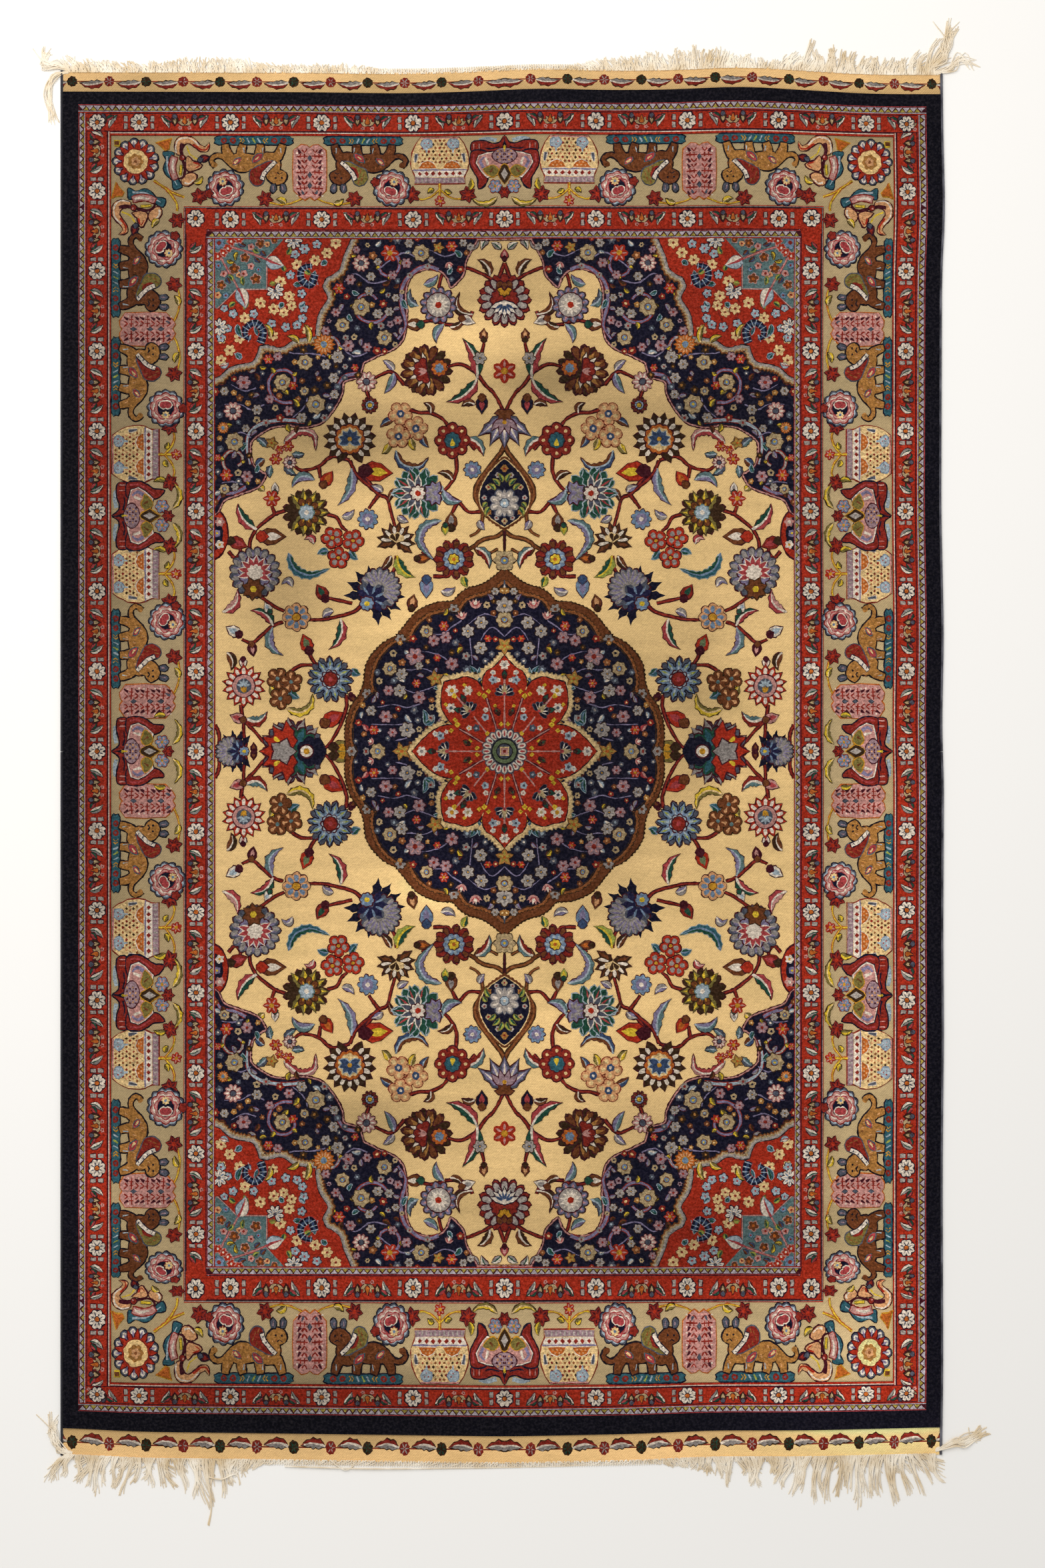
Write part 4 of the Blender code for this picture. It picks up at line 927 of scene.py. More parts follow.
# x, y, size and dye of the small flowers on the red of the spandrel
redFlorets = {
    "ivory": [
        (253, 762, 9), (266, 747, 9), (284, 736, 9), (311, 729, 9), (336, 704, 9), (323, 682, 9), (319, 668, 8),
        (331, 658, 8), (366, 672, 9), (346, 663, 9), (389, 649, 9), (412, 601, 9), (397, 620, 9), (425, 586, 9),
        (347, 623, 8), (296, 631, 8), (424, 617, 7), (417, 634, 7),
    ],
    "ice": [
        (304, 686, 7), (321, 714, 7), (314, 745, 7), (316, 760, 7), (281, 760, 7), (301, 664, 7), (303, 649, 7),
        (311, 639, 7), (349, 641, 7), (328, 636, 7), (376, 656, 7), (407, 656, 7), (414, 634, 6), (300, 753, 8),
        (425, 620, 7), (420, 664, 6),
    ],
}
redLeaves = [
    (300, 724, 288, 716, 7, "lime"), (284, 720, 280, 700, 6, "sea"), (330, 720, 336, 728, 6, "lime"),
    (344, 700, 352, 700, 6, "lime"), (331, 672, 336, 664, 6, "sea"), (316, 700, 300, 706, 7, "sea"),
    (308, 668, 300, 674, 6, "sea"), (371, 640, 366, 622, 7, "sea"), (400, 640, 392, 620, 7, "sea"),
    (384, 672, 390, 662, 6, "lime"), (404, 672, 412, 666, 6, "lime"), (326, 745, 322, 756, 6, "lime"),
    (308, 612, 326, 622, 8, "gold"), (294, 612, 300, 640, 8, "gold"), (396, 588, 404, 596, 8, "sea"),
    (350, 620, 360, 640, 8, "gold"), (266, 734, 274, 728, 7, "sea"), (426, 578, 414, 582, 8, "ice"),
]
starFlorets = [
    (389, 740, 7, "brown"), (380, 727, 6, "pink"), (405, 723, 8, "brown"), (398, 714, 5, "peach"),
    (391, 716, 6, "pink"), (373, 708, 8, "brown"), (421, 716, 6, "pink"), (425, 699, 7, "brown"),
    (429, 728, 5, "sky"), (366, 761, 7, "brown"), (380, 756, 6, "pink"), (356, 760, 5, "peach"),
    (428, 762, 10, "sky"), (418, 683, 5, "sky"), (369, 722, 4, "sky"), (430, 684, 6, "peach"),
    (402, 765, 5, "ice"), (345, 766, 5, "brown"),
]
redRing = [(410, 764), (415, 754), (422, 747), (430, 742), (398, 768)]
starLeaves = [
    (400, 748, 403, 736, 5, "gold"), (416, 736, 405, 734, 5, "gold"), (392, 711, 391, 699, 5, "lime"),
    (376, 753, 368, 748, 5, "lime"), (398, 764, 388, 758, 6, "blue"), (364, 750, 358, 744, 6, "blue"),
    (416, 710, 411, 702, 5, "blue"), (408, 706, 414, 714, 5, "lime"), (374, 740, 366, 734, 5, "blue"),
]


# dye and eye of the small filling flowers on navy
navyDyes = (
    ("grey", "brick"), ("bark", "peach"), ("slate", "ice"), ("mauve", "wine"), ("ochre", "ivory"), ("brown", "peach"),
    ("slate", "chalk"), ("umber", "ochre"), ("slate", "white"), ("sand", "navy"), ("brick", "ivory"),
)


def isInside(point, loop):
    crossings = 0
    for a, b in zip(loop, loop[1:] + loop[:1]):
        if (a.imag > point.imag) != (b.imag > point.imag):
            if point.real < a.real + (point.imag - a.imag) / (b.imag - a.imag) * (b.real - a.real):
                crossings += 1
    return crossings % 2 == 1


def sprinkle(drawing, loop, outside, taken, count, gap, dyePairs, sizes=(4.2, 7.0)):
    """Small flowers and leaves in the free places of an area, each clear of the others."""
    rng = random.Random(31)
    low, high = min(p.real for p in loop), max(p.real for p in loop)
    bottom, top = min(p.imag for p in loop), max(p.imag for p in loop)
    taken = list(taken)
    for _ in range(count):
        point = complex(rng.uniform(max(low, 0), high), rng.uniform(max(bottom, 0), top))
        size = rng.uniform(*sizes)
        if any(abs(point - other) < reach + size * 0.8 + gap for other, reach in taken):
            continue
        if not isInside(point, loop) or (outside and isInside(point, outside)):
            continue
        dye, eye = rng.choice(dyePairs)
        if rng.random() < 0.36:
            tip = point + cmath.rect(size * 2, rng.uniform(0, math.tau))
            drawing.leaf(point.real, point.imag, tip.real, tip.imag, size, rng.choice(("sea", "ice", "gold", "grey", "brown")))
        else:
            drawing.floret(point.real, point.imag, size, dye, eye, rng.choice((5, 6)), rng.uniform(0, 60))
        taken.append((point, size))


def drawMedallion(drawing, outline, edge, rosette):
    closing = [complex(219, -8), complex(-8, -8), complex(-8, 250)]
    ground = cuspLine(outline) + closing
    band = cuspLine(edge) + [complex(236, -8), complex(-8, -8), complex(-8, 276)]
    drawing.shape(grow(band, 1.2, 1.6), "umber")
    drawing.shape(band, "brown")
    drawing.shape(grow(ground, 6.4, 2.2), "umber")
    drawing.shape(grow(ground, 5.2, 2.0), "bark")
    for x, y in ((76, 213), (156, 168), (206, 86), (229, 0)):
        drawing.floret(x, y, 8, "grey", "brown", 6, rim="umber")
    drawing.shape(grow(ground, 2.4), "dark")
    drawing.shape(grow(ground, 1.2), "umber")
    drawing.shape(ground, "navy")
    for line in navyVines[:10]:
        drawing.stem([complex(*p) for p in line], 1.8, "lilac", 0.6)
    for x, y, tipX, tipY, width, kind in (
        (119, 40, 122, 62, 9, "sea"), (119, 40, 106, 54, 8, "sea"), (44, 104, 52, 128, 10, "sea"),
        (44, 104, 38, 126, 8, "sea"), (0, 238, 0, 256, 8, "ice"), (17, 222, 26, 236, 6, "grey"),
        (150, 104, 164, 110, 6, "ice"), (66, 148, 70, 162, 6, "brown"), (206, 30, 214, 40, 7, "pink"),
    ):
        drawing.leaf(x, y, tipX, tipY, width, kind)
    redGround = cuspLine(rosette) + [complex(138, -8), complex(-8, -8), complex(-8, 143)]
    taken = [(complex(x, y), size * 0.8) for _, x, y, size, _ in navyFlowers]
    taken += [(complex(*p), 3) for line in navyVines[:10] for p in line]
    sprinkle(drawing, ground, redGround, taken, 1500, 1.6, navyDyes)
    drawing.shape(grow(redGround, 7.0, 3.0), "tan")
    drawing.shape(grow(redGround, 5.6, 2.4), "ivory")
    drawing.shape(grow(redGround, 1.5), "dark")
    drawing.shape(redGround, "red")
    for line in (((27, 80), (11, 30)), ((68, 34), (31, 12))):
        path = [complex(*p) for p in line]
        drawing.stem(path, 4.2, "wine", 0.9, core="pink")
    for x, y, tipX, tipY in ((0, 30, 0, 128), (24, 24, 46, 52), (30, 0, 128, 0), (58, 66, 80, 92), (56, 58, 76, 64)):
        drawing.stem([complex(x, y), complex(tipX, tipY)], 2.4, "pink", 0.8)
    for x, y, size, dye, eye in (
        (17, 107, 7, "ice", "slate"), (96, 23, 7, "ice", "slate"), (29, 51, 6, "ice", "slate"),
        (42, 35, 6, "slate", "ice"), (79, 91, 10, "white", "gold"), (55, 91, 8, "white", "tan"),
        (80, 65, 8, "white", "slate"), (53, 35, 4.5, "white", "gold"), (104, 26, 5, "white", "ice"),
        (17, 118, 4.5, "white", "ice"), (28, 62, 4.5, "white", "pink"), (9, 107, 4, "white", "ice"),
        (0, 130, 8, "white", "grey"), (124, 0, 8, "white", "grey"), (87, 29, 4, "white", "ice"),
    ):
        drawing.floret(x, y, size, dye, eye, 5 if size < 8 else 6)
    for x, y, size in (
        (24, 90, 4), (30, 83, 4.5), (38, 86, 4), (71, 40, 4.5), (74, 47, 4), (80, 31, 4), (26, 27, 4), (5, 41, 4),
        (41, 5, 4), (75, 83, 4.5), (60, 99, 3.5), (88, 70, 3.5), (14, 68, 3.5), (52, 15, 4),
    ):
        drawing.floret(x, y, size, "yellow", "gold", 4)
    for x, y, turn in ((11, 60, 60), (57, 13, 30), (0, 116, 90), (110, 0, 0), (70, 62, 10), (62, 80, 60)):
        drawing.bud(x, y, 6, turn, "brown" if x in (11, 57) else "leaf", "leaf", "umber")
    for x, y, turn in ((0, 86, 90), (86, 0, 0), (52, 60, 45)):
        drawing.bloom(x, y, 14, turn, flowers["navyFan"])
    drawing.bloom(0, 0, 34, 0, [
        ("disc", 20, 0, 1.02, 0.12, "wine", None), ("round", 20, 0.62, 0.98, 0.12, "white", "slate"),
        ("round", 20, 0.68, 0.9, 0.05, "rose", None), ("dot", 24, 0, 0.62, 0, "slate", None),
        ("dot", 20, 0, 0.54, 0, "sage", "dark"), ("dot", 16, 0, 0.32, 0, "slate", "dark"),
        ("dot", 4, 0, 0.22, 0, "pink", "ivory"), ("dot", 4, 0, 0.1, 0, "brick", None),
    ])


def drawPendant(drawing):
    ogee = cuspLine([
        (0, 438, 1), (12, 428, 0), (27, 410, 0), (37, 386, 0), (33, 364, 0), (18, 348, 0), (0, 336, 1),
    ])
    for line, width, dye in (
        ([(0, 460), (4, 450), (13, 438), (39, 404), (44, 382), (33, 358), (38, 332), (52, 322)], 6, "brown"),
        ([(0, 330), (12, 322), (30, 318), (43, 309), (38, 296), (24, 296), (10, 304)], 5.5, "brown"),
        ([(43, 309), (56, 300), (58, 288), (48, 284)], 5, "brown"), ([(0, 334), (0, 300)], 4, "wine"),
    ):
        drawing.stem([complex(*p) for p in line], width + 2, "umber", 0.6, core=None)
        drawing.stem([complex(*p) for p in line], width - 1, dye, 0.6, core="bark" if width > 5.2 else None)
    closed = ogee + [complex(-8, 336), complex(-8, 438)]
    drawing.shape(grow(closed, 4.2, 1.2), "brown")
    drawing.shape(grow(closed, 1.6), "ivory")
    drawing.shape(closed, "navy")
    for x, y, size, dye in (
        (0, 424, 6, "ochre"), (10, 414, 4.5, "chalk"), (24, 396, 5, "sand"), (30, 380, 4.5, "chalk"), (24, 358, 5, "ochre"),
        (12, 350, 4.5, "chalk"), (0, 345, 5, "sand"),
    ):
        drawing.floret(x, y, size, dye, "brick", 5)
    for x, y, tipX, tipY in ((3, 404, 10, 416), (8, 398, 18, 408), (14, 392, 24, 400), (26, 372, 32, 366), (22, 366, 28, 352)):
        drawing.leaf(x, y, tipX, tipY, 5.5, "lime")


def drawSpandrel(drawing, boundary, divider, starCorner):
    edge = cuspLine(boundary)
    ground = edge + [complex(442, 356), complex(442, 776), complex(-8, 776), complex(-8, 769)]
    drawing.shape(grow(ground, 4.2), "wine")
    drawing.shape(grow(ground, 2.4, 0.8), "pink")
    drawing.shape(grow(ground, 0.9), "wine")
    drawing.shape(ground, "navy")
    for width, kind, points in (
        (5, "lilac", [(99, 722), (120, 727), (139, 716), (152, 699), (155, 672), (148, 639), (160, 618)]),
        (5, "ice", [(300, 494), (318, 496), (340, 496), (367, 490), (384, 474), (386, 452), (381, 430)]),
        (4.5, "lilac", [(220, 566), (240, 562), (252, 544), (262, 528)]),
        (4.5, "lilac", [(388, 396), (404, 388), (424, 384), (436, 366)]),
    ):
        line = [complex(*p) for p in points]
        drawing.stem(line, width + 2.4, "brick", 0.5)
        drawing.stem(line, width, kind, 0.5)
    taken = [(complex(x, y), size * 0.8) for _, x, y, size, _ in navyFlowers]
    for x, y, radius, start in ((202, 669, 30, 200), (329, 552, 31, 250), (176, 728, 22, 100), (404, 436, 20, 300), (262, 604, 20, 20)):
        turns = [complex(x, y) + cmath.rect(radius * (1 - 0.055 * k), math.radians(start + 30 * k)) for k in range(11)]
        drawing.stem(turns, 5.6, "brick", 0.8)
        drawing.stem(turns, 3.4, "lilac" if radius > 21 else "chalk", 0.8)
        taken += [(point, 3) for point in turns]
        for k in (2, 5, 8):
            tip = turns[k] + (turns[k] - complex(x, y)) * 0.42 + 0.3 * (turns[k + 1] - turns[k])
            drawing.leaf(turns[k].real, turns[k].imag, tip.real, tip.imag, 6, ("pinkLeaf", "grey", "gold")[k % 3], 0.2)
            taken.append((tip, 3))
    for line in navyVines[10:]:
        drawing.stem([complex(*p) for p in line], 2.0, "lilac", 0.6)
        taken += [(complex(*p), 2) for p in line]
    line = cuspLine(divider)
    redGround = line + [complex(442, 560), complex(442, 776), complex(230, 776)]
    sprinkle(drawing, ground, redGround, taken, 4200, 1.4, navyDyes)
    for reach, teeth, dye in ((11, 3.2, "umber"), (9.6, 2.8, "bark"), (7.6, 2.4, "sand"), (4.8, 1.8, "chalk"),
                              (2.4, 1.0, "grey"), (1.2, 0, "dark")):
        drawing.shape(grow(redGround, reach, teeth), dye)
    drawing.shape(redGround, "red")
    for path in (
        [(257, 768), (276, 742), (300, 732), (330, 722)], [(300, 700), (318, 690), (320, 660), (330, 640)],
        [(372, 668), (390, 640), (404, 616), (424, 600)], [(350, 690), (352, 660), (340, 640), (310, 632)],
    ):
        drawing.stem([complex(*p) for p in path], 2.6, "brick", 0.5)
    for dye, rows in redFlorets.items():
        for x, y, size in rows:
            drawing.floret(x, y, size, dye, "brick" if dye == "ivory" else "rose", 6 if size > 7 else 5,
                           turn=x * 7, rim="brick" if dye == "ivory" else "navy", eyeSize=0.24)
    for row in redLeaves:
        drawing.leaf(*row)
    for x, y, turn in ((344, 690, 250), (316, 766, 270), (428, 636, 180)):
        drawing.bloom(x, y, 13, turn, [
            ("round", 7, 0.2, 1, 0.2, "white", "navy", 300, 0), ("pointed", 7, 0.3, 0.8, 0.06, "sky", None, 300, 0),
            ("dot", 6, 0, 0.2, 0, "slate", None),
        ])
    for points in (
        [(284, 716), (290, 700), (302, 704), (306, 716), (300, 726), (288, 728)],
        [(366, 612), (362, 630), (374, 642), (388, 634), (388, 622), (380, 618)],
    ):
        curl = flow([complex(*p) for p in points], 3)
        drawing.shape(stroke(curl, 14, 0.5), "rose")
        drawing.shape(stroke(curl, 12, 0.5), "navy")
        drawing.shape(stroke(curl, 4, 0.5), "blue")
        for k in range(1, len(curl) - 1, 2):
            along = curl[k + 1] - curl[k - 1]
            across = 1j * along / abs(along)
            drawing.shape(stroke([curl[k], curl[k] + across * 5.5], 1.4, 0.8), "ice")
            drawing.shape(stroke([curl[k], curl[k] - across * 5.5], 1.4, 0.8), "ice")
    corner = [complex(*p) for p in starCorner]
    drawing.shape(grow(corner, 2.6), "wine")
    drawing.shape(grow(corner, 1.8), "pink")
    drawing.shape(corner, "teal")
    for points in ([(409, 756), (384, 748), (358, 738)], [(425, 740), (412, 716), (400, 695)]):
        drawing.stem([complex(*p) for p in points], 3.4, "rose", 0.8, core="pink")
    for x, y, size, dye in starFlorets:
        drawing.floret(x, y, size, dye, "orange" if dye == "brown" else "brick", 5, turn=y * 5,
                       rim="pink" if dye == "brown" else "sea")
    for row in starLeaves:
        drawing.leaf(*row)
    for x, y in redRing:
        drawing.floret(x, y, 6.5, "red", "white", 6, rim="pink", eyeSize=0.3)
    for row in ((357, 738, 331, 728, 19, "ice", 0.05), (400, 694, 388, 664, 19, "ice", -0.05)):
        drawing.leaf(*row)


def drawField():
    shapes = {
        "spandrel": [
            (0, 769, 1), (41, 769, 1), (58, 738, 0), (64, 714, 0), (80, 697, 1), (87, 714, 0), (102, 724, 0),
            (125, 723, 0), (142, 712, 0), (150, 686, 0), (148, 656, 0), (152, 623, 0), (165, 606, 0),
            (192, 594, 0), (213, 583, 1), (218, 562, 1), (241, 555, 0), (245, 537, 0), (255, 517, 0),
            (275, 494, 0), (304, 487, 0), (321, 490, 0), (348, 487, 0), (367, 477, 0), (381, 464, 0),
            (382, 444, 0), (376, 426, 0), (359, 414, 1), (371, 397, 0), (397, 387, 0), (421, 377, 0),
            (430, 361, 0), (436, 356, 1),
        ],
        "divider": [
            (230, 770, 1), (242, 742, 0), (249, 722, 0), (268, 710, 1), (273, 696, 0), (266, 679, 0),
            (278, 659, 0), (283, 640, 0), (284, 622, 1), (301, 620, 0), (318, 616, 0), (334, 606, 0),
            (357, 610, 0), (368, 608, 1), (377, 586, 0), (397, 581, 0), (414, 575, 0), (427, 563, 0), (436, 560, 1),
        ],
        "starCorner": [(442, 776), (324, 776), (357, 741), (357, 693), (402, 693), (430, 665), (442, 665)],
        "medallion": [
            (0, 250, 1), (13, 239, 0), (29, 232, 0), (54, 224, 0), (67, 205, 1), (78, 207, 0), (103, 204, 0),
            (123, 193, 0), (135, 177, 0), (142, 162, 1), (154, 164, 0), (174, 152, 0), (189, 130, 0),
            (195, 105, 0), (190, 88, 1), (203, 82, 0), (219, 60, 0), (226, 36, 0), (225, 13, 0), (219, 0, 1),
        ],
        "medallionEdge": [
            (0, 276, 1), (15, 262, 0), (33, 250, 0), (58, 242, 0), (78, 224, 1), (103, 222, 0), (131, 209, 0),
            (152, 185, 0), (162, 172, 1), (184, 160, 0), (205, 134, 0), (211, 101, 0), (217, 85, 1),
            (231, 64, 0), (238, 36, 0), (238, 10, 0), (236, 0, 1),
        ],
        "rosette": [
            (0, 143, 1), (14, 128, 0), (28, 118, 0), (33, 104, 0), (31, 90, 1), (40, 104, 0), (56, 111, 0),
            (72, 108, 0), (90, 104, 1), (94, 88, 0), (94, 66, 0), (86, 50, 0), (77, 40, 1), (92, 38, 0),
            (108, 30, 0), (124, 16, 0), (138, 0, 1),
        ],
    }
    fx, fy = rug["fieldX"], rug["fieldY"]
    drawing = Drawing(blockRegion(0, fx, 0, fy), "cream", flat=True, seed=4)
    for points in fieldStems:
        drawing.stem([complex(*p) for p in points], 6.4, "wine", 0.8, core="brick")
    drawPendant(drawing)
    for x, y, tipX, tipY, width, *rest in fieldLeaves:
        drawing.leaf(x, y, tipX, tipY, width * rug["leafGrowth"], *rest)
    for width, kind, *points in fieldSickles:
        drawing.blade(flow([complex(*p) for p in points], 5), width * rug["leafGrowth"], kind, teeth=1)
    for x, y, size, *rest in fieldBuds:
        drawing.bud(x, y, size * rug["flowerGrowth"], *rest)
    drawMedallion(drawing, shapes["medallion"], shapes["medallionEdge"], shapes["rosette"])
    for recipe, x, y, size, turn in fieldFlowers:
        drawing.bloom(x, y, size * rug["flowerGrowth"], turn, flowers[recipe])
    # the small half motif at the field's side edge
    for radius, dye in ((27, "wine"), (25, "red"), (18, "navy")):
        half = [complex(440, 326) + complex(-radius * math.cos(a), radius * 1.5 * math.sin(a))
                for a in np.linspace(-math.pi / 2, math.pi / 2, 14)]
        drawing.shape(half, dye)
    drawing.floret(427, 344, 8, "pink", "white", 6)
    drawing.floret(427, 310, 7, "white", "gold", 5)
    drawing.floret(431, 327, 6, "lilac", "yellow", 5)
    drawSpandrel(drawing, shapes["spandrel"], shapes["divider"], shapes["starCorner"])
    for recipe, *place in navyFlowers:
        drawing.bloom(*place, flowers[recipe])
    return drawing


# Borders. A band runs along the sides (its places are heights) and along the ends (widths).

borders = {
    "innerGuard": (0, 13), "innerRed": (13, 44), "endInner": 46, "sideInner": 44,
    "figureScale": 0.89, "guardPitch": 11.1, "redPitchSide": 120.0, "redPitchEnd": 137.0,
    "sideLines": 590, "sideRed": 595, "sideGuard": 627, "sideNavy": 639,
    "endLines": 923, "endRed": 929, "endGuard": 957, "endNavy": 970,
}


def alongSide(start):
    return lambda place, out: complex(start + out, place)


def alongEnd(start):
    return lambda place, out: complex(place, start + out)


def strip(drawing, spot, low, high, near, far, dye, flat=False, step=30):
    steps = max(1, round((high - low) / step))
    places = [low + (high - low) * k / steps for k in range(steps + 1)]
    points = [spot(place, near) for place in places] + [spot(place, far) for place in reversed(places)]
    drawing.shape(points, dye, flat=flat, tremble=0)


def edgeLines(drawing, spot, low, high, width):
    strip(drawing, spot, low, high, 0, width, "wine")
    strip(drawing, spot, low, high, 0.3, width - 2.6, "red")
    strip(drawing, spot, low, high, width - 2.5, width - 1.2, "white")


def innerLines(drawing, spot, low, high):
    strip(drawing, spot, low, high, 0, 3.4, "red")
    strip(drawing, spot, low, high, 0, 1.9, "chalk")
    strip(drawing, spot, low, high, 0, 1.2, "dark")


def guardBand(drawing, spot, low, high, width):
    """A thin guard: hairlines on both edges and a dark zigzag between two rows of triangles."""
    strip(drawing, spot, low, high, 0, width, "wine")
    strip(drawing, spot, low, high, 0.2, 1.5, "red")
    strip(drawing, spot, low, high, 1.9, 3.2, "ash")
    strip(drawing, spot, low, high, width - 1.2, width - 0.2, "rose")
    pitch = borders["guardPitch"]
    for k in range(math.floor(low / pitch), math.ceil(high / pitch)):
        middle = (k + 0.5) * pitch
        for shift, near, far, dye in ((0, 3.9, width - 4.2, "mustard"), (0.5, width - 2.1, 4.4, "ash")):
            place = middle + shift * pitch
            if low < place - 4 and place + 4 < high:
                half = 4.2 if dye == "mustard" else 5.2
                triangle = [spot(place - half, near), spot(place + half, near), spot(place, far)]
                drawing.shape(triangle, dye, tremble=0.3)


def redBand(drawing, spot, low, high, width, pitch, first=0.0):
    """A red border: a white flower, bars, leaves and lilies, over and over."""
    strip(drawing, spot, low, high, 0, width, "wine")
    strip(drawing, spot, low, high, 1.4, width - 1.4, "red")
    middle = width / 2
    scale = pitch / 137
    outward = math.degrees(cmath.phase(spot(0, 1) - spot(0, 0)))
    for k in range(-1, math.ceil(high / pitch) + 1):
        for side in (-1, 1):
            centre = first + k * pitch
            half = centre + side * pitch / 2
            if low + 4 < centre + side * 20 * scale < high - 6:
                place = centre + side * 20 * scale
                for out in (middle - 5.6, middle + 5.6):
                    drawing.shape(stroke([spot(place, out - 4), spot(place, out), spot(place, out + 4)], 5.2, 0.9), "chalk", "wine", 1.1)
            if low + 8 < centre + side * 39 * scale < high - 8:
                foot, tip = spot(centre + side * 33 * scale, middle + 10), spot(centre + side * 45 * scale, middle - 9)
                drawing.leaf(foot.real, foot.imag, tip.real, tip.imag, 8, "pale", 0.12 * side)
                foot, tip = spot(centre + side * 38 * scale, middle + 9), spot(centre + side * 50 * scale, middle + 1)
                drawing.leaf(foot.real, foot.imag, tip.real, tip.imag, 6.5, "green", 0.1)
            if low + 4 < half < high - 6:
                at = spot(half - side * 15 * scale, middle + 3)
                drawing.bud(at.real, at.imag, 8, outward + 180, "umber", "sand", "slate", "wine")
                at = spot(half - side * 7 * scale, middle - 8)
                drawing.floret(at.real, at.imag, 3.6, "pink", "brick", 5)
        if low - 2 < centre < high - 6:
            at = spot(centre, middle)
            drawing.bloom(at.real, at.imag, 13, 22, flowers["borderRosette"])
        if low + 4 < centre + pitch / 2 < high - 6:
            at = spot(centre + pitch / 2, middle - 1)
            drawing.bloom(at.real, at.imag, 11.5, outward, [
                ("pointed", 5, 0, 1, 0.26, "sand", "wine", 170, -0.2), ("pointed", 3, 0.2, 0.8, 0.08, "ivory", None, 90, -0.2),
                ("drop", 1, -0.9, 0.1, 0.3, "orange", "wine"),
            ])


def drawInnerSide():
    near, reach, top = rug["fieldX"], borders["sideInner"], rug["fieldY"] + borders["endInner"]
    drawing = Drawing(blockRegion(near, near + reach, 0, top), "red", seed=11)
    redBand(drawing, alongSide(near + 13), -12, rug["fieldY"] + 8, 31, borders["redPitchSide"])
    redBand(drawing, alongEnd(rug["fieldY"] + 13), 300, near + 13, 33, borders["redPitchEnd"])
    guardBand(drawing, alongSide(near), -12, rug["fieldY"] + 13, 13)
    guardBand(drawing, alongEnd(rug["fieldY"]), 400, near + 13, 13)
    drawing.bloom(near + reach - 15, top - 15, 13, 22, flowers["borderRosette"])
    return drawing


def drawInnerEnd():
    near, reach = rug["fieldY"], borders["endInner"]
    drawing = Drawing(blockRegion(0, rug["fieldX"], near, near + reach), "red", seed=15)
    redBand(drawing, alongEnd(near + 13), -12, rug["fieldX"] + 13, 33, borders["redPitchEnd"])
    guardBand(drawing, alongEnd(near), -12, rug["fieldX"] + 13, 13)
    return drawing


def drawSideBorder():
    start, top = rug["fieldX"] + borders["sideInner"], rug["fieldY"] + borders["endInner"]
    end = rug["halfWidth"]
    drawing = Drawing(blockRegion(start, end, 0, top), "tan", flat=True, seed=12)
    low, high = -12, top + 2
    innerLines(drawing, alongSide(start), low, high)
    edgeLines(drawing, alongSide(borders["sideLines"]), low, high, 5)
    redBand(drawing, alongSide(borders["sideRed"]), low, high, 32, borders["redPitchSide"])
    guardBand(drawing, alongSide(borders["sideGuard"]), low, high, 12)
    strip(drawing, alongSide(borders["sideNavy"]), low, high, 0, 24, "night")
    drawSideFigures(drawing)
    return drawing


def drawEndBorder():
    start, end = rug["fieldY"] + borders["endInner"], rug["pileEnd"]
    side = rug["halfWidth"]
    drawing = Drawing(blockRegion(0, side, start, end), "tan", flat=True, seed=13)
    inner = rug["fieldX"] + borders["sideInner"]
    innerLines(drawing, alongEnd(start), -12, inner + 3)
    edgeLines(drawing, alongSide(borders["sideLines"]), start - 2, borders["endLines"] + 6, 5)
    edgeLines(drawing, alongEnd(borders["endLines"]), -12, borders["sideLines"] + 1, 6)
    redBand(drawing, alongSide(borders["sideRed"]), start - 2, borders["endGuard"], 32, borders["redPitchSide"])
    redBand(drawing, alongEnd(borders["endRed"]), -12, borders["sideGuard"], 28, borders["redPitchEnd"])
    guardBand(drawing, alongSide(borders["sideGuard"]), start - 2, borders["endNavy"], 12)
    guardBand(drawing, alongEnd(borders["endGuard"]), -12, borders["sideNavy"], 13)
    strip(drawing, alongSide(borders["sideNavy"]), start - 2, end + 2, 0, 24, "night")
    strip(drawing, alongEnd(borders["endNavy"]), -12, side + 2, 0, 20, "night")
    drawing.bloom(611, 943, 12, 22, flowers["borderRosette"])
    drawEndFigures(drawing)
    return drawing


def tube(spot, points, width, tail=1.0):
    return stroke(flow([spot(u, v) for u, v in points], 4), width, tail)


def blob(spot, points):
    return flow([spot(u, v) for u, v in points], 4, closed=True)


def dotAt(drawing, spot, u, v, size, dye, sides=6):
    drawing.shape([spot(u + size * p.real, v + size * p.imag) for p in ring(1, sides)], dye)


